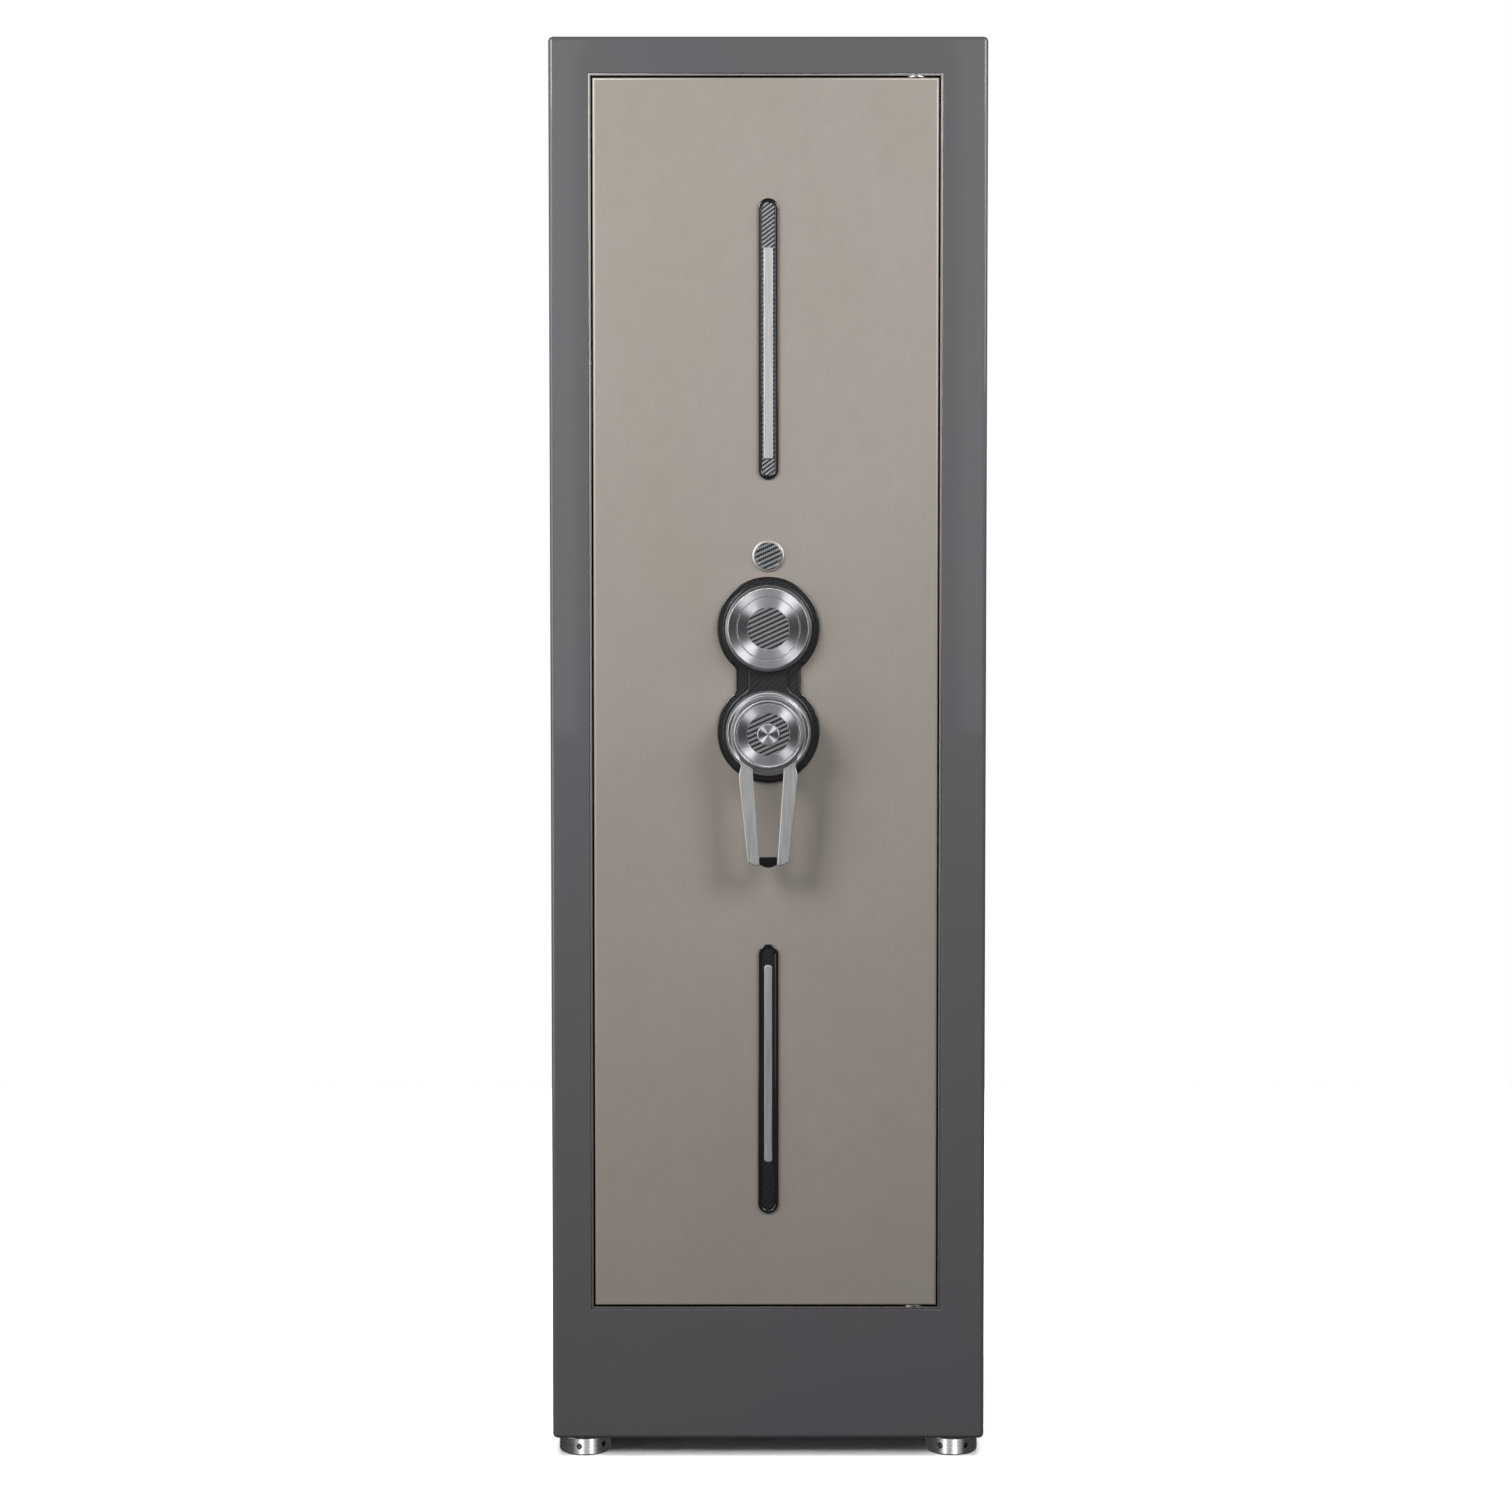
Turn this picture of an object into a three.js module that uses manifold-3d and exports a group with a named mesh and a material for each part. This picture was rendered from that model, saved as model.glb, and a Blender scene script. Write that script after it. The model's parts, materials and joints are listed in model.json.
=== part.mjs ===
// Gun safe: an upright cabinet on four feet, with a hinged door, a combination dial,
// a fork-shaped handle and the boltwork that the handle drives.
// Millimetres, +Z up, +X to the right as seen from the front, the front faces -Y.
// The origin is on the floor under the middle of the safe, handle included.
// Depths are measured backwards from the front face of the cabinet, so a negative depth stands proud.

import * as THREE from 'three';
import { mergeVertices } from 'three/addons/utils/BufferGeometryUtils.js';
import { ConvexGeometry } from 'three/addons/geometries/ConvexGeometry.js';
import Module from 'manifold-3d';

const wasm = await Module();
wasm.setup();

// ---- Driving dimensions ----

const GAP = 0.3;                 // clearance between pieces that touch or run in each other
const FRONT_Y = -170;            // y of the cabinet's front face

const BODY = { halfWidth: 232.5, depth: 390, base: 20, top: 1520, wall: 6, floor: 8 };
const OPENING = { left: -190.5, right: 185, bottom: 161.5, top: 1481, frameDepth: 45 };
const TRIM = { width: 2.2, depths: [0.5, 5] };

const FOOT = { radius: 28, inset: 33, chamfer: 1.5, stemRadius: 6, stemTop: 27.4,
  holeRadius: 2.8, holeDepth: 14, holes: 6, holeHeight: 10, leftTurn: -10, rightTurn: 31 };

const LEAF = { left: -186.1, right: 180.6, bottom: 165.9, top: 1476.6, bevel: 3, face: 4, back: 42 };
const PIVOT = { x: 156.6, depth: 11.5, radius: 6, intoLeaf: 24, intoFrame: 21 };

const LOCK_X = 0;                // every lock fitting sits on this vertical line
const DIAL = { z: 895.3, radius: 45.9, rim: 42.5, groove: 33.3, inlay: 22.1, front: -16.5, back: -6.3,
  seatDepth: 1.5, grooveHalf: 0.7, grooveDepth: 0.7, edgeDrop: 3.4, inlayDrop: 0.2,
  spindle: 5.5, spindleEnds: [-11.7, 75] };
const HANDLE = { z: 785, drum: 45, boss: 38.7, ring: 33.4, inlay: 22.3, button: 11.7,
  drumFront: -30, ringFront: -50, faceFront: -48, recess: -45.5, buttonFront: -49.1, back: -6.3,
  ringSlope: 0.8, bossEdge: 1, drumEdge: 1.5, buttonEdge: 1, buttonDrop: 0.8,
  spindle: 8, spindleEnd: 69, seat: -20 };
const PLATE = { radius: 54.8, neck: 34.6, depths: [-4, -GAP] };
const PANEL = { radius: 48.5, neck: 20.6, depths: [-5.2, PLATE.depths[0] - GAP] };
const KEY = { z: 972, ringOuter: 17, ringInner: 13.2, ringFront: -1.8, cylinder: 8, plug: 5,
  front: -1.2, cylinderBack: 43, plugBack: 50 };
const KEY_SLIT = { halfWidth: 0.6, halfHeight: 3.5, depth: 24 };
const KEY_COVER = { radius: 14.4, edge: 0.8, front: -4.2, back: -2.1,
  stud: 1.5, studUp: 11, studEnds: [-2.6, 3] };
const SLOT = { width: 22, inlay: 14, bezelFront: -2.8, inlayFront: -1.5, barFront: -3.4 };
const UPPER_SLOT = { z: [1053, 1350], bar: [1075, 1298], barWidth: 9.8, barRound: 1.2 };
const LOWER_SLOT = { z: [266, 557], bar: [322, 535], barWidth: 8.4, barRound: 3.6 };

const LEG = { depths: [-46, -30.3], length: 139,
  outerTop: 31.3, outerEnd: 21.5, innerTop: 16, innerEnd: 9.3, arcSteps: 4, endCut: 2, endCutRise: 0.6,
  notchX: 28.5, notchDrop: 34.5, shoulderDrop: 43, endRise: 3 };
const CROSSBAR = { drops: [130, 138], depths: [-43, -33], sag: 2.5 };

const GEAR = { module: 2, teeth: 14, addendum: 1.6, dedendum: 2, pressure: 20, halfTooth: 1.35,
  depths: [49, 67] };
const PITCH_RADIUS = GEAR.module * GEAR.teeth / 2;
const TOOTH_PITCH = Math.PI * GEAR.module;
const PRESSURE = THREE.MathUtils.degToRad(GEAR.pressure);

const CASE = { left: -172, right: 166, bottom: 178, top: 1465, plate: 3, depths: [44.6, 98], cover: 2 };
const BOLT_ZS = [390, 821, 1252];
const SIDE_BOLT = { radius: 10, tip: -182.5, depth: 60, bar: [-146, -134], barDepths: [57.3, 66],
  overhang: 20 };
const SIDE_RACK = { depths: [50, 57], bottom: 755, right: 40, teeth: [-12, 38] };
const ROD = { width: [16, 28], depths: [59, 66], boltRadius: 8.5, lap: 5 };
const TOP_ROD = { tip: 1468, boltStart: 1430, end: 752, teeth: [-32, 10] };
const BOTTOM_ROD = { tip: 174, boltStart: 205, end: 822, teeth: [-10, 32] };
const LOCK_TAB = { x: [-36, -30], depths: [57.3, 82], z: [755, 862] };
const LOCK_CASE = { x: [-56, 24], depths: [69, 95], z: [865, 925],
  post: 4.5, postXs: [-46, 6], postZ: 917 };
const LOCK_BOLT = { x: [-50, -38], depths: [72, 82], z: [866, 890] };
const HINGE_DOG = { reach: 200, depths: [52, 62], z: [370, 1272] };

const SHELF = { z: [1200, 1212], front: 112 };
const RACK = { z: [1040, 1060], front: 300, notches: 5, pitch: 80, radius: 18, straight: 37 };
const BUTT_REST_TOP = 58;

const ROUND = 40;                // sides of a large turned piece
const MEDIUM_ROUND = 36;         // sides of a thin disc or ring
const FOOT_ROUND = 30;           // sides of a foot
const SMALL_ROUND = 24;          // sides of a pin, spindle or bore
const STUD_ROUND = 12;           // sides of a stud, a post or a small hole
const PLATE_CURVE = 20;          // steps along a large arc of an outline
const SMALL_CURVE = 6;           // steps along a small arc of an outline
const OVERSHOOT = 1;             // how far a cutting shape reaches past the face that it cuts

// ---- Solids ----

const middle = ([low, high]) => (low + high) / 2;
const spread = ([low, high]) => high - low;

/** A block between two x values, two depths and two heights. */
function block(xs, depths, zs) {
  const geometry = new THREE.BoxGeometry(spread(xs), spread(depths), spread(zs));
  return geometry.translate(middle(xs), FRONT_Y + middle(depths), middle(zs));
}

/** A front-view outline, drawn in x and z, given thickness between two depths. */
function slab(shape, depths, curveSegments = SMALL_CURVE) {
  const depth = spread(depths);
  const geometry = new THREE.ExtrudeGeometry(shape, { depth, bevelEnabled: false, curveSegments });
  return geometry.rotateX(Math.PI / 2).translate(0, FRONT_Y + depths[1], 0);
}

/** A piece turned about a front-to-back line; the profile holds [radius, depth] pairs, front first. */
function turned(profile, x, z, sides = ROUND) {
  const points = profile.map(([radius, depth]) => new THREE.Vector2(radius, FRONT_Y + depth));
  return new THREE.LatheGeometry(points, sides).translate(x, 0, z);
}

/** A piece turned about a vertical line; the profile holds [radius, z] pairs, lowest first. */
function turnedUpright(profile, x, depth, sides = ROUND) {
  const points = profile.map(([radius, z]) => new THREE.Vector2(radius, z));
  return new THREE.LatheGeometry(points, sides).rotateX(Math.PI / 2).translate(x, FRONT_Y + depth, 0);
}

/** A closed ring profile for turned(): an annulus between two radii and two depths. */
function ringProfile(inner, outer, depths) {
  const [front, back] = depths;
  return [[inner, front], [outer, front], [outer, back], [inner, back], [inner, front]];
}

/** A round bar along depth. */
function barInward(radius, depths, x, z, sides = SMALL_ROUND) {
  const geometry = new THREE.CylinderGeometry(radius, radius, spread(depths), sides);
  return geometry.translate(x, FRONT_Y + middle(depths), z);
}

/** An upright round bar. */
function barUpright(radius, zs, x, depth, sides = SMALL_ROUND) {
  const geometry = new THREE.CylinderGeometry(radius, radius, spread(zs), sides).rotateX(Math.PI / 2);
  return geometry.translate(x, FRONT_Y + depth, middle(zs));
}

/** A round bar across the safe. */
function barAcross(radius, xs, depth, z, sides = SMALL_ROUND) {
  const geometry = new THREE.CylinderGeometry(radius, radius, spread(xs), sides).rotateZ(Math.PI / 2);
  return geometry.translate(middle(xs), FRONT_Y + depth, z);
}

/** The same closed surface as a manifold solid, ready to be cut or joined. */
function solid(geometry) {
  const bare = new THREE.BufferGeometry();
  bare.setAttribute('position', geometry.attributes.position.clone());
  if (geometry.index) bare.setIndex(geometry.index.clone());
  const merged = mergeVertices(bare, 1e-4);
  const corners = merged.index.array;
  const kept = [];
  for (let i = 0; i < corners.length; i += 3) {
    const [a, b, c] = corners.subarray(i, i + 3);
    if (a !== b && b !== c && c !== a) kept.push(a, b, c);
  }
  const vertProperties = new Float32Array(merged.attributes.position.array);
  return new wasm.Manifold(new wasm.Mesh({ numProp: 3, vertProperties, triVerts: new Uint32Array(kept) }));
}

function geometryOf(manifold) {
  const { vertProperties, triVerts } = manifold.getMesh();
  const geometry = new THREE.BufferGeometry();
  geometry.setAttribute('position', new THREE.BufferAttribute(new Float32Array(vertProperties), 3));
  geometry.setIndex(new THREE.BufferAttribute(new Uint32Array(triVerts), 1));
  geometry.computeVertexNormals();
  return geometry;
}

const cut = (geometry, tools) =>
  geometryOf(tools.reduce((body, tool) => body.subtract(solid(tool)), solid(geometry)));
const join = (pieces) => geometryOf(pieces.map(solid).reduce((body, piece) => body.add(piece)));

// ---- Materials ----

const finish = (color, roughness, metalness) =>
  new THREE.MeshStandardMaterial({ color, roughness, metalness });
const FINISH = {
  cabinet: finish(0x6f6d72, 0.22, 0.35),
  door: finish(0x98908a, 0.42, 0.25),
  trim: finish(0xb9b7b4, 0.35, 0.8),
  black: finish(0x17171a, 0.3, 0.3),
  carbon: finish(0x24262a, 0.28, 0.4),
  spun: finish(0xb4b0ac, 0.28, 1),
  satin: finish(0xa5a19d, 0.35, 1),
  steel: finish(0x8c8e90, 0.4, 1),
  board: finish(0xcfc8bb, 0.9, 0),
  felt: finish(0x3a3c40, 0.95, 0),
};

const model = new THREE.Group();

function add(group, name, geometry, material) {
  const mesh = new THREE.Mesh(geometry, material);
  mesh.name = name;
  group.add(mesh);
}

function addGroup() {
  const group = new THREE.Group();
  model.add(group);
  return group;
}

// ---- Cabinet ----

const hingeBore = (zs) => barUpright(PIVOT.radius + GAP, zs, PIVOT.x, PIVOT.depth);
const footDepths = { front: FOOT.inset, rear: BODY.depth - FOOT.inset };
const footX = BODY.halfWidth - FOOT.inset;
const stemBore = (x, depth) =>
  barUpright(FOOT.stemRadius + GAP, [BODY.base - OVERSHOOT, FOOT.stemTop + GAP], x, depth);

function addFrontFrame(group) {
  const depths = [0, OPENING.frameDepth];
  const heights = [BODY.base, BODY.top];
  const railXs = [OPENING.left + GAP, OPENING.right - GAP];
  const left = block([-BODY.halfWidth, OPENING.left], depths, heights);
  const right = block([OPENING.right, BODY.halfWidth], depths, heights);
  add(group, 'frame_stile_left', cut(left, [stemBore(-footX, footDepths.front)]), FINISH.cabinet);
  add(group, 'frame_stile_right', cut(right, [stemBore(footX, footDepths.front)]), FINISH.cabinet);

  const top = block(railXs, depths, [OPENING.top, BODY.top]);
  const topBore = hingeBore([OPENING.top - OVERSHOOT, OPENING.top + PIVOT.intoFrame + GAP]);
  add(group, 'frame_rail_top', cut(top, [topBore]), FINISH.cabinet);
  const bottom = block(railXs, depths, [BODY.base, OPENING.bottom]);
  const bottomBore = hingeBore([OPENING.bottom - PIVOT.intoFrame - GAP, OPENING.bottom + OVERSHOOT]);
  add(group, 'frame_rail_bottom', cut(bottom, [bottomBore]), FINISH.cabinet);
}

function addShell(group) {
  const { halfWidth, depth, base, top, wall, floor } = BODY;
  const depths = [OPENING.frameDepth + GAP, depth];
  const innerXs = [-halfWidth + wall + GAP, halfWidth - wall - GAP];
  add(group, 'wall_left', block([-halfWidth, -halfWidth + wall], depths, [base, top]), FINISH.cabinet);
  add(group, 'wall_right', block([halfWidth - wall, halfWidth], depths, [base, top]), FINISH.cabinet);
  add(group, 'roof', block(innerXs, depths, [top - wall, top]), FINISH.cabinet);
  const floorPlate = block(innerXs, depths, [base, base + floor]);
  const stemBores = [-footX, footX].map((x) => stemBore(x, footDepths.rear));
  add(group, 'floor', cut(floorPlate, stemBores), FINISH.cabinet);
  const backZs = [base + floor + GAP, top - wall - GAP];
  add(group, 'wall_back', block(innerXs, [depth - wall, depth], backZs), FINISH.cabinet);
}

/** A rectangle outline in front view, grown inwards by inset. */
function rectangle(shape, { left, right, bottom, top }, inset) {
  shape.moveTo(left + inset, bottom + inset);
  shape.lineTo(right - inset, bottom + inset);
  shape.lineTo(right - inset, top - inset);
  shape.lineTo(left + inset, top - inset);
  shape.closePath();
  return shape;
}

function addOpeningTrim(group) {
  const outline = rectangle(new THREE.Shape(), OPENING, GAP);
  outline.holes.push(rectangle(new THREE.Path(), OPENING, GAP + TRIM.width));
  add(group, 'opening_trim', slab(outline, TRIM.depths), FINISH.trim);
}

function addHingePins(group) {
  const lower = [OPENING.bottom - PIVOT.intoFrame, LEAF.bottom + PIVOT.intoLeaf];
  const upper = [LEAF.top - PIVOT.intoLeaf, OPENING.top + PIVOT.intoFrame];
  add(group, 'hinge_pin_lower', barUpright(PIVOT.radius, lower, PIVOT.x, PIVOT.depth), FINISH.steel);
  add(group, 'hinge_pin_upper', barUpright(PIVOT.radius, upper, PIVOT.x, PIVOT.depth), FINISH.steel);
}

/** The barrel rack seen from above: a board with round-ended notches open to the front. */
function rackOutline(halfWidth, back) {
  const shape = new THREE.Shape();
  shape.moveTo(-halfWidth, back);
  shape.lineTo(-halfWidth, RACK.front);
  for (let i = 0; i < RACK.notches; i += 1) {
    const x = (i - (RACK.notches - 1) / 2) * RACK.pitch;
    shape.lineTo(x - RACK.radius, RACK.front);
    shape.absarc(x, RACK.front + RACK.straight, RACK.radius, Math.PI, 0, true);
    shape.lineTo(x + RACK.radius, RACK.front);
  }
  shape.lineTo(halfWidth, RACK.front);
  shape.lineTo(halfWidth, back);
  return shape;
}

function addInterior(group) {
  const halfWidth = BODY.halfWidth - BODY.wall - GAP;
  const xs = [-halfWidth, halfWidth];
  const back = BODY.depth - BODY.wall - GAP;
  add(group, 'shelf', block(xs, [SHELF.front, back], SHELF.z), FINISH.felt);
  const rack = new THREE.ExtrudeGeometry(rackOutline(halfWidth, back),
    { depth: spread(RACK.z), bevelEnabled: false, curveSegments: SMALL_CURVE });
  add(group, 'barrel_rack', rack.translate(0, FRONT_Y, RACK.z[0]), FINISH.felt);
  const butt = block(xs, [RACK.front, back], [BODY.base + BODY.floor + GAP, BUTT_REST_TOP]);
  add(group, 'butt_rest', butt, FINISH.felt);
}

/** A levelling foot with radial holes for a turning bar and a stem; turn is how far it is screwed round. */
function footGeometry(x, depth, turn) {
  const { radius, chamfer, stemRadius, stemTop, holeRadius, holeDepth, holes, holeHeight } = FOOT;
  const top = BODY.base - GAP;
  const profile = [[0, 0], [radius - chamfer, 0], [radius, chamfer], [radius, top - chamfer],
    [radius - chamfer, top], [stemRadius, top], [stemRadius, stemTop], [0, stemTop]];
  const bores = [];
  for (let i = 0; i < holes; i += 1) {
    const bore = new THREE.CylinderGeometry(holeRadius, holeRadius, holeDepth + OVERSHOOT, STUD_ROUND);
    const angle = THREE.MathUtils.degToRad(turn) + i * 2 * Math.PI / holes;
    bore.translate(0, -radius + (holeDepth - OVERSHOOT) / 2, holeHeight).rotateZ(angle);
    bores.push(bore.translate(x, FRONT_Y + depth, 0));
  }
  return cut(turnedUpright(profile, x, depth, FOOT_ROUND), bores);
}

function addFeet(group) {
  for (const [end, depth] of Object.entries(footDepths)) {
    add(group, `foot_${end}_left`, footGeometry(-footX, depth, FOOT.leftTurn), FINISH.satin);
    add(group, `foot_${end}_right`, footGeometry(footX, depth, FOOT.rightTurn), FINISH.satin);
  }
}

// ---- Door leaf ----

const throughHole = (radius, z, depths) => barInward(radius + GAP, depths, LOCK_X, z);

/** The lock spindles' and cylinder's holes between two depths. */
function lockHoles(depths) {
  const through = [depths[0] - OVERSHOOT, depths[1] + OVERSHOOT];
  return [throughHole(DIAL.spindle, DIAL.z, through), throughHole(HANDLE.spindle, HANDLE.z, through)];
}

function addLeaf(group) {
  const corners = [[0, LEAF.bevel], [LEAF.bevel, 0], [LEAF.face, 0]].flatMap(([depth, inset]) =>
    [LEAF.left + inset, LEAF.right - inset].flatMap((x) =>
      [LEAF.bottom + inset, LEAF.top - inset].map((z) => new THREE.Vector3(x, FRONT_Y + depth, z))));
  const faceDepths = [0, LEAF.face];
  const studHole = barInward(KEY_COVER.stud + GAP, [-OVERSHOOT, LEAF.face + OVERSHOOT],
    LOCK_X, KEY.z + KEY_COVER.studUp, STUD_ROUND);
  const keyHole = ([front, back]) =>
    throughHole(KEY.cylinder, KEY.z, [front - OVERSHOOT, back + OVERSHOOT]);
  const face = cut(new ConvexGeometry(corners), [...lockHoles(faceDepths), keyHole(faceDepths), studHole]);
  add(group, 'door_face', face, FINISH.door);

  const coreDepths = [LEAF.face + GAP, LEAF.back];
  const core = block([LEAF.left, LEAF.right], coreDepths, [LEAF.bottom, LEAF.top]);
  const pinBores = [hingeBore([LEAF.bottom - OVERSHOOT, LEAF.bottom + PIVOT.intoLeaf + GAP]),
    hingeBore([LEAF.top - PIVOT.intoLeaf - GAP, LEAF.top + OVERSHOOT])];
  const holes = [...lockHoles(coreDepths), keyHole(coreDepths), ...pinBores];
  add(group, 'door_core', cut(core, holes), FINISH.board);
}

/** A plate of two discs, on the dial's and the handle's axes, joined by a straight-sided neck. */
function twinPlate({ radius, neck, depths }) {
  const swing = Math.asin(neck / radius);
  const shape = new THREE.Shape();
  shape.absarc(LOCK_X, HANDLE.z, radius, Math.PI / 2 + swing, Math.PI / 2 - swing + 2 * Math.PI, false);
  shape.absarc(LOCK_X, DIAL.z, radius, -Math.PI / 2 + swing, -Math.PI / 2 - swing + 2 * Math.PI, false);
  return cut(slab(shape, depths, PLATE_CURVE), lockHoles(depths));
}

function addLockPlate(group) {
  add(group, 'lock_plate', twinPlate(PLATE), FINISH.black);
  add(group, 'lock_plate_panel', twinPlate(PANEL), FINISH.carbon);
}

/** An upright strip outline with rounded ends; round is the corner radius. */
function strip(shape, width, [low, high], round) {
  const half = width / 2;
  shape.absarc(LOCK_X + half - round, low + round, round, -Math.PI / 2, 0, false);
  shape.absarc(LOCK_X + half - round, high - round, round, 0, Math.PI / 2, false);
  shape.absarc(LOCK_X - half + round, high - round, round, Math.PI / 2, Math.PI, false);
  shape.absarc(LOCK_X - half + round, low + round, round, Math.PI, 1.5 * Math.PI, false);
  return shape;
}

/** A long inset on the door: a black bezel round a carbon inlay, with a metal bar on it. */
function addSlot(group, name, { z, bar, barWidth, barRound }) {
  const { width, inlay, bezelFront, inlayFront, barFront } = SLOT;
  const rim = (width - inlay) / 2;
  const innerZ = [z[0] + rim, z[1] - rim];
  const bezel = strip(new THREE.Shape(), width, z, width / 2);
  bezel.holes.push(strip(new THREE.Path(), inlay, innerZ, inlay / 2));
  add(group, `${name}_bezel`, slab(bezel, [bezelFront, -GAP]), FINISH.black);
  const inlayZ = [innerZ[0] + GAP, innerZ[1] - GAP];
  const inlayWidth = inlay - 2 * GAP;
  const inlayShape = strip(new THREE.Shape(), inlayWidth, inlayZ, inlayWidth / 2);
  add(group, `${name}_inlay`, slab(inlayShape, [inlayFront, -GAP]), FINISH.carbon);
  const barShape = strip(new THREE.Shape(), barWidth, bar, barRound);
  add(group, `${name}_bar`, slab(barShape, [barFront, inlayFront - GAP]), FINISH.satin);
}

function addKeyLock(door, cover, plug) {
  const { ringInner, ringOuter, ringFront, front } = KEY;
  const ring = ringProfile(ringInner, ringOuter, [ringFront, -GAP]);
  add(door, 'keyhole_ring', turned(ring, LOCK_X, KEY.z, MEDIUM_ROUND), FINISH.satin);
  const cylinder = ringProfile(KEY.plug + GAP, KEY.cylinder, [front, KEY.cylinderBack]);
  add(door, 'key_cylinder', turned(cylinder, LOCK_X, KEY.z, SMALL_ROUND), FINISH.steel);

  const { radius, edge, stud, studUp, studEnds } = KEY_COVER;
  const profile = [[0, KEY_COVER.front], [radius - edge, KEY_COVER.front], [radius, KEY_COVER.front + edge],
    [radius, KEY_COVER.back], [0, KEY_COVER.back]];
  const disc = turned(profile, LOCK_X, KEY.z, MEDIUM_ROUND);
  const hangingStud = barInward(stud, studEnds, LOCK_X, KEY.z + studUp, STUD_ROUND);
  add(cover, 'key_cover', join([disc, hangingStud]), FINISH.carbon);

  const barrel = barInward(KEY.plug, [front, KEY.plugBack], LOCK_X, KEY.z);
  const { halfWidth, halfHeight, depth } = KEY_SLIT;
  const slit = block([LOCK_X - halfWidth, LOCK_X + halfWidth], [front - OVERSHOOT, depth],
    [KEY.z - halfHeight, KEY.z + halfHeight]);
  add(plug, 'key_plug', cut(barrel, [slit]), FINISH.steel);
}

// ---- Dial ----

function addDial(group) {
  const { radius, rim, groove, grooveHalf, inlay, front, back, spindle, spindleEnds } = DIAL;
  const seat = inlay + GAP;
  const floor = front + DIAL.seatDepth;
  const bore = spindle + GAP;
  const boreEnd = spindleEnds[0] - GAP;
  const profile = [[0, floor], [seat, floor], [seat, front], [groove - grooveHalf, front],
    [groove, front + DIAL.grooveDepth], [groove + grooveHalf, front], [rim, front],
    [radius, front + DIAL.edgeDrop], [radius, back], [bore, back], [bore, boreEnd], [0, boreEnd]];
  add(group, 'dial_disc', turned(profile, LOCK_X, DIAL.z), FINISH.spun);
  const inlayDepths = [front + DIAL.inlayDrop, floor - GAP];
  add(group, 'dial_inlay', barInward(inlay, inlayDepths, LOCK_X, DIAL.z, MEDIUM_ROUND), FINISH.carbon);
  add(group, 'dial_spindle', barInward(spindle, spindleEnds, LOCK_X, DIAL.z), FINISH.steel);
}

// ---- Handle ----

function addHandleHub(group) {
  const { drum, boss, ring, inlay, button, drumFront, ringFront, faceFront, recess, back } = HANDLE;
  const { ringSlope, bossEdge, drumEdge, buttonEdge, buttonDrop, buttonFront } = HANDLE;
  const seat = inlay + GAP;
  const bore = HANDLE.spindle + GAP;
  const profile = [[0, recess], [seat, recess], [seat, faceFront], [ring - ringSlope, faceFront],
    [ring, ringFront], [boss - bossEdge, ringFront], [boss, ringFront + bossEdge], [boss, drumFront],
    [drum - drumEdge, drumFront], [drum, drumFront + drumEdge], [drum, back],
    [bore, back], [bore, HANDLE.seat], [0, HANDLE.seat]];
  add(group, 'handle_hub', turned(profile, LOCK_X, HANDLE.z), FINISH.spun);
  const inlayRing = ringProfile(button + GAP, inlay, [faceFront + GAP, recess - GAP]);
  add(group, 'handle_inlay', turned(inlayRing, LOCK_X, HANDLE.z), FINISH.carbon);
  const cap = [[0, buttonFront], [button - buttonEdge, buttonFront], [button, buttonFront + buttonDrop],
    [button, recess - GAP], [0, recess - GAP]];
  add(group, 'handle_button', turned(cap, LOCK_X, HANDLE.z, MEDIUM_ROUND), FINISH.spun);
}

/** One leg of the fork; side is -1 for the left leg and 1 for the right one. */
function legOutline(side) {
  const clear = HANDLE.boss + GAP;
  const at = (x, drop) => new THREE.Vector2(LOCK_X + side * x, HANDLE.z - drop);
  const onBoss = (x) => at(x, Math.sqrt(clear ** 2 - x ** 2));
  const { outerTop, outerEnd, innerTop, innerEnd, arcSteps, endCut, endCutRise } = LEG;
  const arc = [];
  for (let i = 0; i <= arcSteps; i += 1) {
    arc.push(onBoss(THREE.MathUtils.lerp(outerTop, innerTop, i / arcSteps)));
  }
  const outerDrop = LEG.length - LEG.endRise;
  return new THREE.Shape([...arc, at(innerTop, LEG.shoulderDrop), at(innerEnd, LEG.length),
    at(outerEnd - endCut, outerDrop + endCutRise), at(outerEnd, outerDrop - endCut),
    at(outerTop, LEG.shoulderDrop), at(LEG.notchX, LEG.notchDrop)]);
}

function addFork(group) {
  add(group, 'handle_leg_left', slab(legOutline(-1), LEG.depths), FINISH.satin);
  add(group, 'handle_leg_right', slab(legOutline(1), LEG.depths), FINISH.satin);
  const legInnerAt = (drop) => THREE.MathUtils.mapLinear(drop, LEG.shoulderDrop, LEG.length,
    LEG.innerTop, LEG.innerEnd);
  const [topDrop, bottomDrop] = CROSSBAR.drops;
  const shape = new THREE.Shape();
  shape.moveTo(LOCK_X - legInnerAt(topDrop) + GAP, HANDLE.z - topDrop);
  shape.lineTo(LOCK_X - legInnerAt(bottomDrop) + GAP, HANDLE.z - bottomDrop);
  shape.quadraticCurveTo(LOCK_X, HANDLE.z - bottomDrop - 2 * CROSSBAR.sag,
    LOCK_X + legInnerAt(bottomDrop) - GAP, HANDLE.z - bottomDrop);
  shape.lineTo(LOCK_X + legInnerAt(topDrop) - GAP, HANDLE.z - topDrop);
  add(group, 'handle_crossbar', slab(shape, CROSSBAR.depths), FINISH.black);
}

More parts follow.
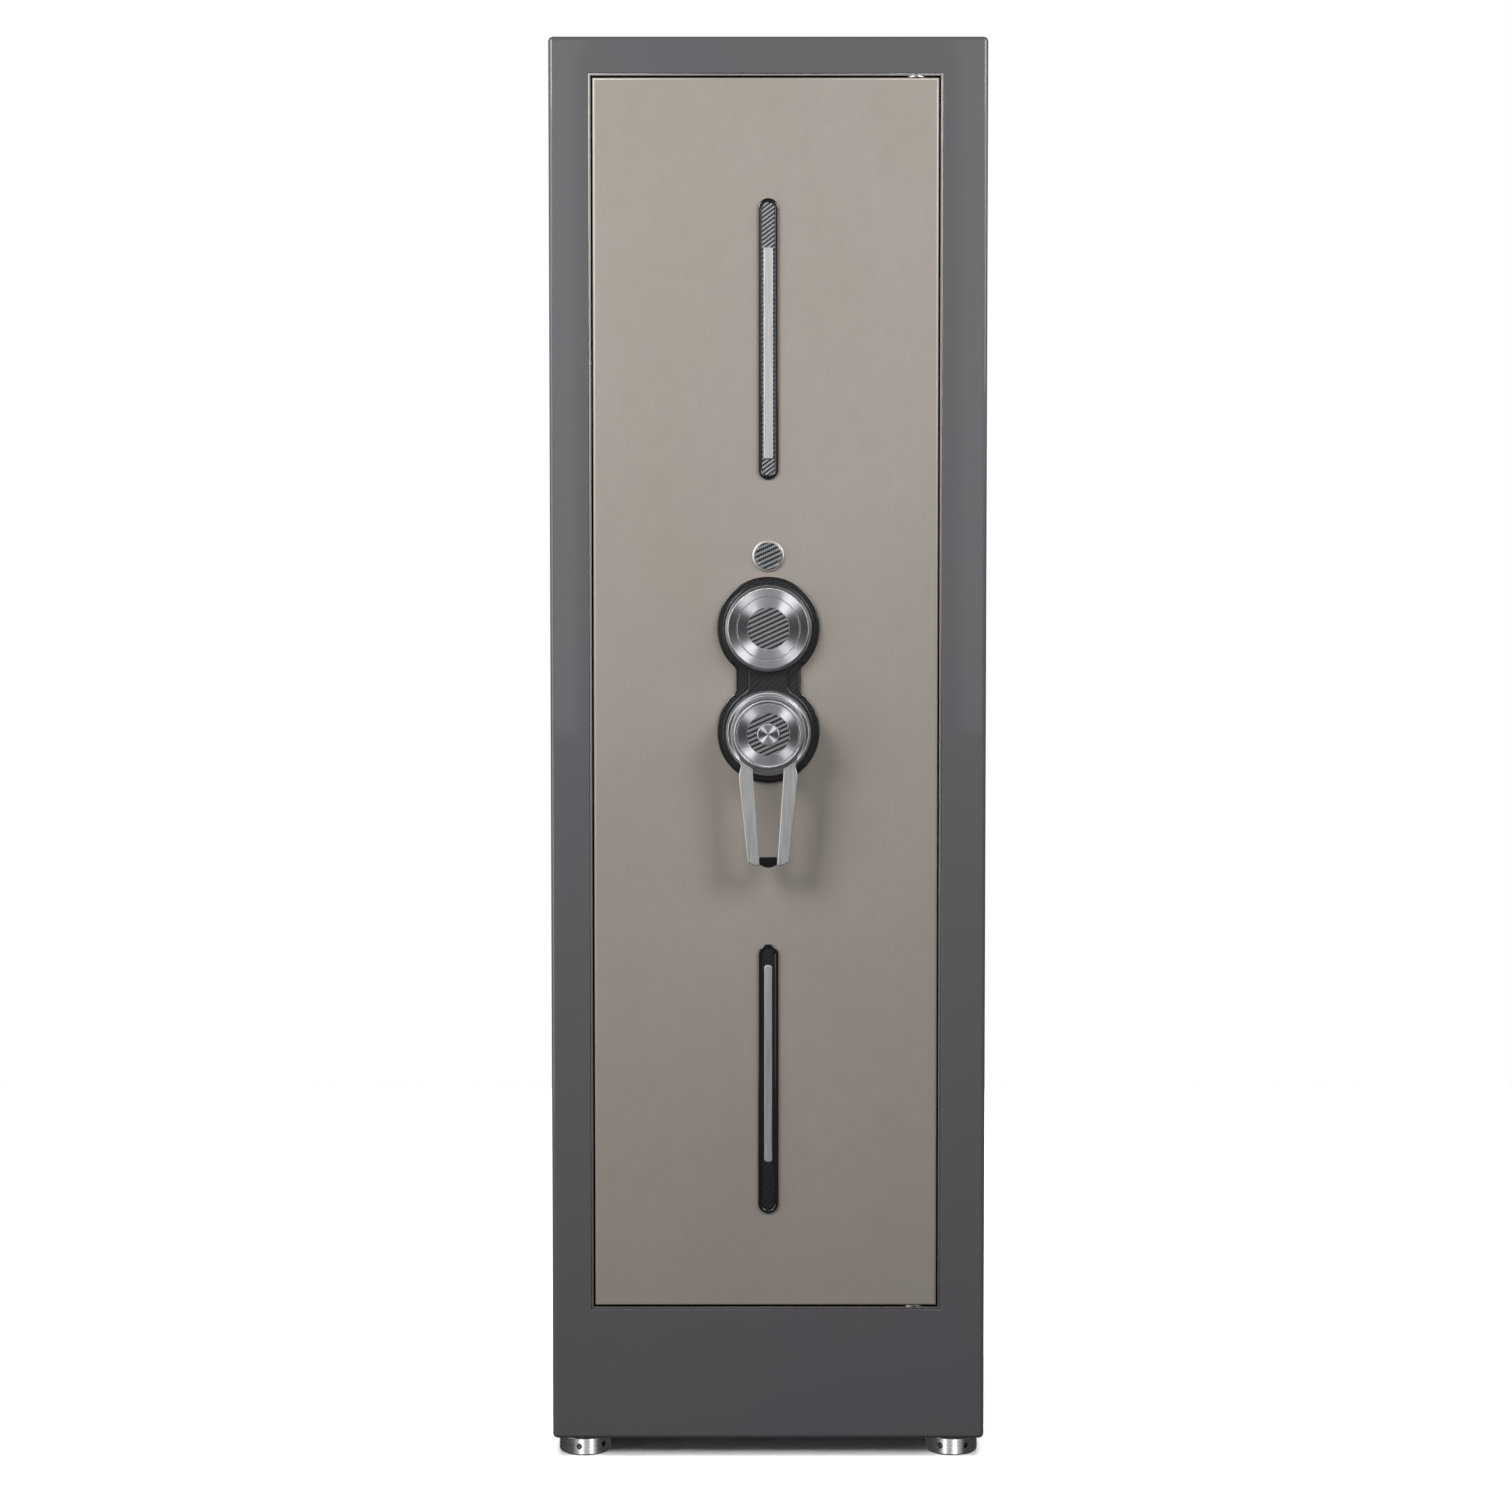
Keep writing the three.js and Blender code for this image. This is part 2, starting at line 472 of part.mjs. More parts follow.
/** An involute pinion in front view, with one tooth pointing straight up. */
function pinionOutline() {
  const base = PITCH_RADIUS * Math.cos(PRESSURE);
  const tip = PITCH_RADIUS + GEAR.addendum;
  const root = PITCH_RADIUS - GEAR.dedendum;
  const involute = (angle) => Math.tan(angle) - angle;
  const halfAngle = (radius) => GEAR.halfTooth / PITCH_RADIUS + involute(PRESSURE)
    - involute(Math.acos(Math.min(1, base / radius)));
  const flank = [root, base, PITCH_RADIUS, tip];
  const points = [];
  for (let tooth = 0; tooth < GEAR.teeth; tooth += 1) {
    const centre = Math.PI / 2 + tooth * 2 * Math.PI / GEAR.teeth;
    const put = (radius, angle) => points.push(new THREE.Vector2(
      LOCK_X + radius * Math.cos(angle), HANDLE.z + radius * Math.sin(angle)));
    flank.forEach((radius) => put(radius, centre - halfAngle(radius)));
    flank.toReversed().forEach((radius) => put(radius, centre + halfAngle(radius)));
  }
  return new THREE.Shape(points);
}

function addHandleSpindle(group) {
  const spindle = barInward(HANDLE.spindle, [HANDLE.seat + GAP, HANDLE.spindleEnd], LOCK_X, HANDLE.z);
  add(group, 'handle_spindle', join([spindle, slab(pinionOutline(), GEAR.depths)]), FINISH.steel);
}

// ---- Boltwork ----

/** The toothed edge of a rack as [along, out] pairs; shift moves the teeth by part of a pitch. */
function rackEdge([from, to], shift) {
  const half = (out) => GEAR.halfTooth - out * Math.tan(PRESSURE);
  const points = [];
  for (let k = Math.ceil(from / TOOTH_PITCH - shift); (k + shift) * TOOTH_PITCH < to; k += 1) {
    const centre = (k + shift) * TOOTH_PITCH;
    const tipHalf = half(GEAR.addendum);
    const rootHalf = half(-GEAR.dedendum);
    points.push([centre - rootHalf, -GEAR.dedendum], [centre - tipHalf, GEAR.addendum],
      [centre + tipHalf, GEAR.addendum], [centre + rootHalf, -GEAR.dedendum]);
  }
  return points;
}

function addSideBolts(group) {
  const { radius, tip, depth, bar, barDepths, overhang } = SIDE_BOLT;
  const barZs = [BOLT_ZS[0] - overhang, BOLT_ZS.at(-1) + overhang];
  add(group, 'side_bolt_bar', block(bar, barDepths, barZs), FINISH.steel);
  BOLT_ZS.forEach((z, i) => {
    add(group, `side_bolt_${i + 1}`, barAcross(radius, [tip, bar[0] - GAP], depth, z), FINISH.satin);
  });

  const pitchZ = HANDLE.z - PITCH_RADIUS;
  const rootZ = pitchZ - GEAR.dedendum;
  const teeth = rackEdge(SIDE_RACK.teeth, 0.5).map(([along, out]) =>
    new THREE.Vector2(LOCK_X + along, pitchZ + out));
  const { right, bottom } = SIDE_RACK;
  const corners = [[right, rootZ], [right, bottom], [bar[0], bottom], [bar[0], rootZ]];
  const rack = new THREE.Shape([...teeth, ...corners.map(([x, z]) => new THREE.Vector2(x, z))]);
  add(group, 'side_rack', slab(rack, SIDE_RACK.depths), FINISH.steel);
  add(group, 'lock_tab', block(LOCK_TAB.x, LOCK_TAB.depths, LOCK_TAB.z), FINISH.steel);
}

/** An upright rod with a rack beside the pinion and a round bolt at its far end. */
function rodGeometry(side, { tip, boltStart, end, teeth }) {
  const [near, far] = ROD.width;
  const edge = rackEdge(teeth, 0).map(([along, out]) =>
    new THREE.Vector2(LOCK_X + side * (PITCH_RADIUS - out), HANDLE.z + along));
  if (end > boltStart) edge.reverse();
  const corners = [[near, boltStart], [far, boltStart], [far, end], [near, end]];
  const sides = corners.map(([x, z]) => new THREE.Vector2(LOCK_X + side * x, z));
  const flat = new THREE.Shape([...edge, ...sides]);
  const lap = Math.sign(end - boltStart) * ROD.lap;
  const boltZs = [tip, boltStart + lap].sort((a, b) => a - b);
  const bolt = barUpright(ROD.boltRadius, boltZs, LOCK_X + side * middle(ROD.width), middle(ROD.depths));
  return join([slab(flat, ROD.depths), bolt]);
}

function addLockCase(door, bolt) {
  const { x, depths, z, post, postXs, postZ } = LOCK_CASE;
  const postDepths = [LEAF.back + GAP, depths[0] + OVERSHOOT];
  const posts = postXs.map((postX) => barInward(post, postDepths, postX, postZ, STUD_ROUND));
  const body = join([block(x, depths, z), ...posts]);
  const channel = block([LOCK_BOLT.x[0] - GAP, LOCK_BOLT.x[1] + GAP],
    [LOCK_BOLT.depths[0] - GAP, LOCK_BOLT.depths[1] + GAP], [z[0] - OVERSHOOT, LOCK_BOLT.z[1] + GAP]);
  const spindleBore = throughHole(DIAL.spindle, DIAL.z,
    [depths[0] - OVERSHOOT, DIAL.spindleEnds[1] + GAP]);
  add(door, 'lock_case', cut(body, [channel, spindleBore]), FINISH.black);
  add(bolt, 'lock_bolt', block(LOCK_BOLT.x, LOCK_BOLT.depths, LOCK_BOLT.z), FINISH.satin);
}

/** The closed box on the back of the leaf that carries and covers the boltwork. */
function addBoltCase(group) {
  const { left, right, bottom, top, plate, depths, cover } = CASE;
  const heights = [bottom, top];
  const boltHoles = BOLT_ZS.map((z) =>
    barAcross(SIDE_BOLT.radius + GAP, [left - OVERSHOOT, left + plate + OVERSHOOT], SIDE_BOLT.depth, z));
  add(group, 'case_left', cut(block([left, left + plate], depths, heights), boltHoles), FINISH.cabinet);
  add(group, 'case_right', block([right - plate, right], depths, heights), FINISH.cabinet);

  const xs = [left + plate + GAP, right - plate - GAP];
  const rodHole = (x, z) => barUpright(ROD.boltRadius + GAP, [z - OVERSHOOT, z + plate + OVERSHOOT],
    x, middle(ROD.depths));
  const rodX = middle(ROD.width);
  const topPlate = block(xs, depths, [top - plate, top]);
  add(group, 'case_top', cut(topPlate, [rodHole(LOCK_X - rodX, top - plate)]), FINISH.cabinet);
  const bottomPlate = block(xs, depths, [bottom, bottom + plate]);
  add(group, 'case_bottom', cut(bottomPlate, [rodHole(LOCK_X + rodX, bottom)]), FINISH.cabinet);
  const coverDepths = [depths[1] + GAP, depths[1] + GAP + cover];
  add(group, 'door_back_cover', block([left, right], coverDepths, heights), FINISH.cabinet);
  const dog = block([right + GAP, HINGE_DOG.reach], HINGE_DOG.depths, HINGE_DOG.z);
  add(group, 'hinge_side_dog', dog, FINISH.steel);
}

// ---- Assembly ----

const cabinet = addGroup();
addFrontFrame(cabinet);
addShell(cabinet);
addOpeningTrim(cabinet);
addHingePins(cabinet);
addInterior(cabinet);
addFeet(cabinet);

const door = addGroup();
addLeaf(door);
addLockPlate(door);
addSlot(door, 'upper_slot', UPPER_SLOT);
addSlot(door, 'lower_slot', LOWER_SLOT);
addKeyLock(door, addGroup(), addGroup());
addBoltCase(door);
addLockCase(door, addGroup());
addDial(addGroup());

const handle = addGroup();
addHandleHub(handle);
addFork(handle);
addHandleSpindle(handle);

const boltwork = addGroup();
addSideBolts(boltwork);
add(boltwork, 'top_bolt_rod', rodGeometry(-1, TOP_ROD), FINISH.satin);
add(boltwork, 'bottom_bolt_rod', rodGeometry(1, BOTTOM_ROD), FINISH.satin);

export default model;
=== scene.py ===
import json
import math
import bpy
import bmesh
from mathutils import Matrix, Vector


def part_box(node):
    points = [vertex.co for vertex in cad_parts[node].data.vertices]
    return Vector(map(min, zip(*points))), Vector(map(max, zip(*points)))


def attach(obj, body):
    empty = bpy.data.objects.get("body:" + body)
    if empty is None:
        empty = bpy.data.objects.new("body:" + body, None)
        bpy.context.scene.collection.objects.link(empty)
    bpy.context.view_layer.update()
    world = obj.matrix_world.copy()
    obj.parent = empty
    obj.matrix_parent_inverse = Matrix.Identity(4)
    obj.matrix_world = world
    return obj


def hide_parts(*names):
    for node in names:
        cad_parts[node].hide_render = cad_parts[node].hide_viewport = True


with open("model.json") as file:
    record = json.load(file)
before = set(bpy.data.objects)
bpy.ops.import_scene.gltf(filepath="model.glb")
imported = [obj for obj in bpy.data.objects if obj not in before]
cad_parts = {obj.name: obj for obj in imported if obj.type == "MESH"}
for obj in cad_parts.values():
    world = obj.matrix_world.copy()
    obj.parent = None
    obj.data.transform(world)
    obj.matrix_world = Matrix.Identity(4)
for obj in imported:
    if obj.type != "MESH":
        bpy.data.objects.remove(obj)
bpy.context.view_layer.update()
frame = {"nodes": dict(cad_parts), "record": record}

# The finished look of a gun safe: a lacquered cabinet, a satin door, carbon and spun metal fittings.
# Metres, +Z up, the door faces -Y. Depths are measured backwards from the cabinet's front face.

MM = 0.001
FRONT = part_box("frame_stile_left")[0].y
FINE = 128                       # sides of a large turned piece
GAP = 0.3 * MM                   # clearance that neighbouring pieces keep
TINY = 1e-7                      # metres below which points are one and radii are none
CREASE = math.radians(32)        # edges that bend more than this are sharp
SHARPEST = 0.3                   # cosine that limits how far an inset runs out at a sharp corner


def centre(node):
    low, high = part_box(node)
    return (low + high) / 2


def radius_of(node):
    """Half the width of a round node."""
    low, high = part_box(node)
    return (high.x - low.x) / 2


# ---- Materials ----
# Noise scales are cells per metre, one for each axis where the noise is stretched along a grain.

class Look:
    """A procedural material for one material slot of the record."""

    def __init__(self, name, **values):
        self.material = bpy.data.materials.new(name)
        self.material.use_nodes = True
        self.tree = self.material.node_tree
        self.shader = self.tree.nodes["Principled BSDF"]
        self.place = self.node("ShaderNodeTexCoord").outputs["Object"]
        self.generated = self.place.node.outputs["Generated"]
        for key, value in values.items():
            self.shader.inputs[key.replace("_", " ")].default_value = value

    def node(self, kind, inputs=None, **settings):
        made = self.tree.nodes.new(kind)
        for key, value in settings.items():
            setattr(made, key, value)
        for key, value in (inputs or {}).items():
            if isinstance(value, bpy.types.NodeSocket):
                self.tree.links.new(value, made.inputs[key])
            else:
                made.inputs[key].default_value = value
        return made

    def math(self, operation, first, second=0.0):
        return self.node("ShaderNodeMath", {0: first, 1: second}, operation=operation).outputs[0]

    def stretched(self, scale, source=None, turn=0.0):
        """The place scaled along each axis and turned about Y."""
        inputs = {"Vector": source or self.place, "Scale": scale, "Rotation": (0.0, turn, 0.0)}
        return self.node("ShaderNodeMapping", inputs).outputs[0]

    def noise(self, scale, detail=2.0, source=None, roughness=0.5):
        inputs = {"Vector": source or self.place, "Scale": scale, "Detail": detail, "Roughness": roughness}
        return self.node("ShaderNodeTexNoise", inputs).outputs["Fac"]

    def ramp(self, value, low, high, from_low=0.3, from_high=0.7):
        """Spreads the middle of a noise's range over low to high."""
        inputs = {"Value": value, "From Min": from_low, "From Max": from_high, "To Min": low, "To Max": high}
        return self.node("ShaderNodeMapRange", inputs).outputs[0]

    def blend(self, factor, first, second):
        mixed = self.node("ShaderNodeMix", {0: factor}, data_type="RGBA")
        for socket, value in ((mixed.inputs[6], first), (mixed.inputs[7], second)):
            if isinstance(value, bpy.types.NodeSocket):
                self.tree.links.new(value, socket)
            else:
                socket.default_value = (*value, 1.0)
        return mixed.outputs[2]

    def drive(self, socket, value):
        self.tree.links.new(value, self.shader.inputs[socket])

    def bump(self, height, distance, strength=1.0):
        inputs = {"Height": height, "Distance": distance, "Strength": strength}
        self.drive("Normal", self.node("ShaderNodeBump", inputs).outputs[0])


def lacquer():
    """Deep grey gloss lacquer: a faint drift between cool and warm grey under a clear coat."""
    look = Look("cabinet_lacquer", Metallic=0.1, Roughness=0.3, Specular_IOR_Level=0.3, Coat_Weight=0.45,
                Coat_Roughness=0.05)
    drift = look.ramp(look.noise(2.6, 3.0), 0.0, 1.0)
    look.drive("Base Color", look.blend(drift, (0.105, 0.110, 0.110), (0.113, 0.105, 0.120)))
    look.bump(look.noise(260.0, 2.0), 0.02 * MM, 0.5)
    return look.material


def door_paint():
    """Satin champagne paint with a slight mottle and a fine upright grain."""
    look = Look("door_paint", Metallic=0.25, Coat_Weight=0.12, Coat_Roughness=0.3)
    mottle = look.ramp(look.noise(7.0, 5.0, look.stretched((1.0, 1.0, 0.45))), 0.0, 1.0)
    grain = look.noise(1.0, 2.0, look.stretched((1500.0, 1500.0, 26.0)))
    base = look.blend(mottle, (0.335, 0.300, 0.262), (0.362, 0.322, 0.288))
    look.drive("Base Color", look.blend(look.ramp(grain, 0.0, 0.25), base, (0.27, 0.245, 0.22)))
    look.drive("Roughness", look.ramp(look.noise(60.0, 4.0), 0.38, 0.46))
    look.bump(look.math("ADD", look.noise(700.0, 2.0), look.math("MULTIPLY", grain, 0.5)), 0.015 * MM, 0.6)
    return look.material


def carbon(name, tilt, light, dark, pitch=4.7 * MM):
    """Twill of flat tows under clear lacquer; tilt turns the ribs away from 45 degrees. The over tows are
    painted in the light colour, a painted sheen, and the under tows in the dark one.
    """
    look = Look(name, Roughness=0.3, Coat_Weight=1.0, Coat_Roughness=0.05)
    tow = pitch / (2 * math.sqrt(2))
    grid = look.stretched((1 / tow,) * 3, turn=tilt)
    axes = look.node("ShaderNodeSeparateXYZ", {0: grid}).outputs
    across, up = axes[0], axes[2]
    step = look.math("SUBTRACT", look.math("FLOOR", across), look.math("FLOOR", up))
    over = look.math("LESS_THAN", look.math("FLOORED_MODULO", step, 4.0), 1.5)
    round_across = look.math("SINE", look.math("MULTIPLY", look.math("FRACT", across), math.pi))
    round_up = look.math("SINE", look.math("MULTIPLY", look.math("FRACT", up), math.pi))
    warp_fibre = look.noise(1.0, 2.0, look.stretched((9.0, 9.0, 0.5), grid))
    weft_fibre = look.noise(1.0, 2.0, look.stretched((0.5, 9.0, 9.0), grid))
    # Over tows: the light colour is a painted sheen, dimmed to 0.72 of it along the fibres.
    painted_sheen_tows = look.blend(look.ramp(warp_fibre, 0.0, 1.0), tuple(0.72 * c for c in light), light)
    under = look.blend(look.ramp(weft_fibre, 0.0, 1.0), dark, tuple(2.2 * c for c in dark))
    look.drive("Base Color", look.blend(over, under, painted_sheen_tows))
    rise = look.math("ADD", look.math("MULTIPLY", over, look.math("ADD", round_across, 0.6)),
                     look.math("MULTIPLY", look.math("SUBTRACT", 1.0, over), round_up))
    look.bump(rise, 0.08 * MM, 0.7)
    return look.material


def spun(name, tint, roughness=0.3):
    """Metal turned on a lathe: ring-shaped tool marks and a highlight that fans out from the centre."""
    look = Look(name, Metallic=1.0, Anisotropic=1.0)
    tangent = look.node("ShaderNodeTangent", direction_type="RADIAL", axis="Y").outputs[0]
    look.drive("Tangent", tangent)
    middle = look.node("ShaderNodeVectorMath", {0: look.generated, 1: (0.5, 0.5, 0.5)}, operation="SUBTRACT")
    flat = look.node("ShaderNodeVectorMath", {0: middle.outputs[0], 1: (1.0, 0.0, 1.0)}, operation="MULTIPLY")
    distance = look.node("ShaderNodeVectorMath", {0: flat.outputs[0]}, operation="LENGTH").outputs["Value"]
    rings = look.node("ShaderNodeTexNoise", {"W": look.math("MULTIPLY", distance, 110.0), "Detail": 2.0},
                      noise_dimensions="1D").outputs["Fac"]
    look.drive("Base Color", look.blend(look.ramp(rings, 0.0, 1.0), tuple(0.86 * c for c in tint), tint))
    look.drive("Roughness", look.ramp(rings, roughness - 0.04, roughness + 0.04))
    look.bump(rings, 0.003 * MM, 0.3)
    return look.material


def brushed(name, tint, grain, roughness=0.3, anisotropic=0.0):
    """Metal brushed in one direction; grain holds the noise scale along each axis."""
    look = Look(name, Metallic=1.0, Anisotropic=anisotropic)
    lines = look.noise(1.0, 4.0, look.stretched(grain), 0.6)
    broad = look.noise(18.0, 3.0)
    tone = look.blend(look.ramp(lines, 0.0, 1.0), tuple(0.8 * c for c in tint), tint)
    look.drive("Base Color", look.blend(look.ramp(broad, 0.0, 0.22), tone, tuple(0.6 * c for c in tint)))
    look.drive("Roughness", look.ramp(lines, roughness - 0.06, roughness + 0.1))
    look.bump(lines, 0.012 * MM, 0.6)
    return look.material


def black_gloss():
    """Black gloss enamel with a faint orange peel."""
    look = Look("black_gloss", Coat_Weight=1.0, Coat_Roughness=0.04)
    look.drive("Base Color", look.blend(look.noise(40.0, 4.0), (0.004, 0.004, 0.005), (0.008, 0.008, 0.009)))
    look.drive("Roughness", look.ramp(look.noise(90.0, 5.0), 0.12, 0.2))
    look.bump(look.noise(900.0, 2.0), 0.008 * MM, 0.5)
    return look.material


def powder_paint():
    """Matt dark powder coat on the back of the door."""
    look = Look("case_paint", Metallic=0.1)
    look.drive("Base Color", look.blend(look.noise(12.0, 4.0), (0.046, 0.047, 0.050), (0.060, 0.060, 0.064)))
    look.drive("Roughness", look.ramp(look.noise(200.0, 3.0), 0.5, 0.62))
    look.bump(look.noise(1300.0, 2.0), 0.04 * MM, 0.8)
    return look.material


def fire_board():
    """Pale mineral board with darker specks."""
    look = Look("fire_board", Roughness=0.9)
    specks = look.ramp(look.noise(900.0, 3.0), 0.0, 1.0, 0.45, 0.7)
    look.drive("Base Color", look.blend(specks, (0.58, 0.55, 0.48), (0.42, 0.39, 0.34)))
    look.bump(look.noise(500.0, 4.0), 0.1 * MM, 0.8)
    return look.material


def felt():
    """Needled felt: short fibres in every direction, with a soft sheen."""
    look = Look("felt", Roughness=0.95, Sheen_Weight=0.35, Sheen_Roughness=0.5)
    fibres = look.noise(1800.0, 4.0, roughness=0.7)
    patches = look.noise(40.0, 3.0)
    tone = look.blend(look.ramp(fibres, 0.0, 1.0), (0.030, 0.032, 0.037), (0.075, 0.078, 0.086))
    look.drive("Base Color", look.blend(look.ramp(patches, 0.0, 0.25), tone, (0.09, 0.09, 0.1)))
    look.bump(fibres, 0.25 * MM, 0.9)
    return look.material


def floor_look():
    """The plain pale floor of the studio."""
    look = Look("studio_floor", Roughness=0.7)
    look.drive("Base Color", look.blend(look.noise(3.0, 3.0), (0.86, 0.86, 0.86), (0.89, 0.89, 0.89)))
    return look.material


LOOKS = {
    "cabinet_lacquer": lacquer(),
    "door_paint": door_paint(),
    "trim_metal": brushed("trim_metal", (0.52, 0.49, 0.46), (900.0, 900.0, 900.0), 0.35),
    "black_gloss": black_gloss(),
    # carbon_weave's over tows are painted only a little lighter than the under tows: a faint painted sheen.
    "carbon_weave": carbon("carbon_weave", 0.0, (0.016, 0.016, 0.018), (0.003, 0.003, 0.003)),
    "spun_metal": spun("spun_metal", (0.58, 0.59, 0.62), 0.37),
    "satin_metal": brushed("satin_metal", (0.66, 0.65, 0.65), (1400.0, 1400.0, 22.0), 0.5),
    "boltwork_steel": brushed("boltwork_steel", (0.48, 0.49, 0.50), (90.0, 900.0, 1400.0), 0.32),
    "foot_metal": brushed("foot_metal", (0.58, 0.57, 0.56), (40.0, 40.0, 2600.0), 0.24),
    "case_paint": powder_paint(),
    "fire_board": fire_board(),
    "felt": felt(),
}
# The inlay and strip carbons paint their over tows light grey: a painted sheen on black fibre.
CARBON_INLAY = carbon("carbon_inlay", math.radians(-20.0), (0.24, 0.245, 0.25), (0.004, 0.004, 0.005))
CARBON_STRIP = carbon("carbon_strip", math.radians(-8.0), (0.34, 0.34, 0.36), (0.004, 0.004, 0.005), 3.8 * MM)


# ---- Mesh tools ----

def shade_smooth(bm):
    """Smooth shading, with sharp edges where two faces meet steeply."""
    for face in bm.faces:
        face.smooth = True
    for edge in bm.edges:
        edge.smooth = len(edge.link_faces) == 2 and edge.calc_face_angle() < CREASE


def finished(name, bm, body, slot, replaced=(), material=None):
    """Makes a piece of bm, gives it its slot's finish or another one, and lets it ride on a body."""
    bmesh.ops.remove_doubles(bm, verts=bm.verts, dist=TINY)
    bmesh.ops.recalc_face_normals(bm, faces=bm.faces)
    shade_smooth(bm)
    mesh = bpy.data.meshes.new(name)
    bm.to_mesh(mesh)
    bm.free()
    mesh.materials.append(material or LOOKS[slot])
    piece = bpy.data.objects.new(name, mesh)
    bpy.context.scene.collection.objects.link(piece)
    weighted = piece.modifiers.new("even_shading", "WEIGHTED_NORMAL")
    weighted.keep_sharp = True
    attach(piece, body)
    if replaced:
        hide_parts(*replaced)
    return piece


def eased(corners, closed=False, steps=5):
    """Points through corners given as (a, b) or (a, b, ease); ease rounds the corner off over that length."""
    points = []
    count = len(corners)
    for i, corner in enumerate(corners):
        here = Vector(corner[:2])
        ease = corner[2] if len(corner) > 2 else 0.0
        if ease == 0.0 or (not closed and i in (0, count - 1)):
            points.append(here)
            continue
        start = here + (Vector(corners[i - 1][:2]) - here).normalized() * ease
        end = here + (Vector(corners[(i + 1) % count][:2]) - here).normalized() * ease
        for k in range(steps + 1):
            t = k / steps
            points.append(start * (1 - t) ** 2 + here * 2 * t * (1 - t) + end * t ** 2)
    return points


# Where a profile's two sides u, v and its height h run for each axis of turning.
AXES = {"X": lambda u, v, h: (h, u, v), "Y": lambda u, v, h: (u, h, v), "Z": lambda u, v, h: (u, v, h)}


def add_turned(bm, profile, origin, axis, sides, closed=False):
    """Adds a turned shape: profile holds (radius, height) pairs and the height runs along axis."""
    place = AXES[axis]
    rings = []
    for radius, height in profile:
        angles = [2 * math.pi * k / sides for k in range(sides)] if radius > TINY else [0.0]
        rings.append([bm.verts.new(origin + Vector(place(radius * math.cos(a), radius * math.sin(a), height)))
                      for a in angles])
    pairs = list(zip(rings, rings[1:])) + ([(rings[-1], rings[0])] if closed else [])
    for first, second in pairs:
        for k in range(sides):
            corners = [first[k % len(first)], first[(k + 1) % len(first)],
                       second[(k + 1) % len(second)], second[k % len(second)]]
            unique = list(dict.fromkeys(corners))
            if len(unique) > 2:
                bm.faces.new(unique)


def turned(name, profile, origin, axis, body, slot, replaced=(), material=None, sides=FINE, closed=False):
    """A turned piece; closed joins the profile's last point to its first, as in a ring."""
    bm = bmesh.new()
    add_turned(bm, profile, Vector(origin), axis, sides, closed)
    return finished(name, bm, body, slot, replaced, material)


def inset_loop(outline, inset):
    """The outline moved inwards by inset along its corners' bisectors; outlines run anticlockwise."""
    moved = []
    count = len(outline)
    for i, point in enumerate(outline):
        before = (point - outline[i - 1]).normalized()
        after = (outline[(i + 1) % count] - point).normalized()
        bisector = Vector((-(before.y + after.y), before.x + after.x))
        length = bisector.length
        reach = inset / max(SHARPEST, length / 2)
        moved.append(point + bisector.normalized() * reach)
    return moved


def anticlockwise(outline):
    """The outline, turned round where it runs clockwise."""
    area = sum(a.x * b.y - b.x * a.y for a, b in zip(outline, outline[1:] + outline[:1]))
    return outline if area > 0 else outline[::-1]


def add_plate(bm, outline, holes, section, hole_section, axis="Y"):
    """Adds a plate of one outline and its holes. A section holds (inset, height) pairs from back to front."""
    place = {"Y": lambda p, h: (p.x, h, p.y), "Z": lambda p, h: (p.x, p.y, h)}[axis]
    caps = ([], [])
    loops = [(anticlockwise(outline), section, 1)] + [(anticlockwise(h), hole_section, -1) for h in holes]
    for path, steps, side in loops:
        rings = [[bm.verts.new(place(p, height)) for p in inset_loop(path, side * inset)]
                 for inset, height in steps]
        for first, second in zip(rings, rings[1:]):
            for k in range(len(path)):
                follow = (k + 1) % len(path)
                bm.faces.new((first[k], first[follow], second[follow], second[k]))
        for cap, ring in zip(caps, (rings[0], rings[-1])):
            cap.append(ring)
    for cap in caps:
        if holes:
            edges = [bm.edges.get((a, b)) for ring in cap for a, b in zip(ring, ring[1:] + ring[:1])]
            bmesh.ops.triangle_fill(bm, use_beauty=True, edges=edges)
        else:
            bm.faces.new(cap[0])


def plate(name, outline, holes, section, body, slot, replaced=(), material=None, hole_section=None, axis="Y"):
    """A plate as a piece; its holes run straight through unless they have a section of their own."""
    bm = bmesh.new()
    flat = [(0.0, section[0][1]), (0.0, section[-1][1])]
    add_plate(bm, outline, holes, section, hole_section or flat, axis)
    return finished(name, bm, body, slot, replaced, material)


def rounded_section(back, front, radius, steps=4, back_radius=0.0):
    """A plate's edge: square or eased at the back and rounded to the front face."""
    sign = 1 if front > back else -1
    points = [(back_radius, back), (0.0, back + sign * back_radius)] if back_radius else [(0.0, back)]
    for k in range(steps + 1):
        angle = math.pi / 2 * k / steps
        points.append((radius * (1 - math.cos(angle)), front - sign * radius * (1 - math.sin(angle))))
    return points


def rectangle(left, right, bottom, top):
    return [Vector((left, bottom)), Vector((right, bottom)), Vector((right, top)), Vector((left, top))]


def circle(z, radius, sides):
    """A circle in front view on the door's centre line."""
    angles = [2 * math.pi * k / sides for k in range(sides)]
    return [Vector((radius * math.cos(a), z + radius * math.sin(a))) for a in angles]


def round_strip(low, high, radius, inset=0.0, steps=10):
    """An upright strip in front view between two corners, its corners rounded by radius."""
    left, right, bottom, top = low.x + inset, high.x - inset, low.z + inset, high.z - inset
    points = []
    for x, z, start in ((right - radius, bottom + radius, -90), (right - radius, top - radius, 0),
                        (left + radius, top - radius, 90), (left + radius, bottom + radius, 180)):
        for k in range(steps + 1):
            angle = math.radians(start + 90 * k / steps)
            points.append(Vector((x + radius * math.cos(angle), z + radius * math.sin(angle))))
    return points


# ---- Cabinet ----

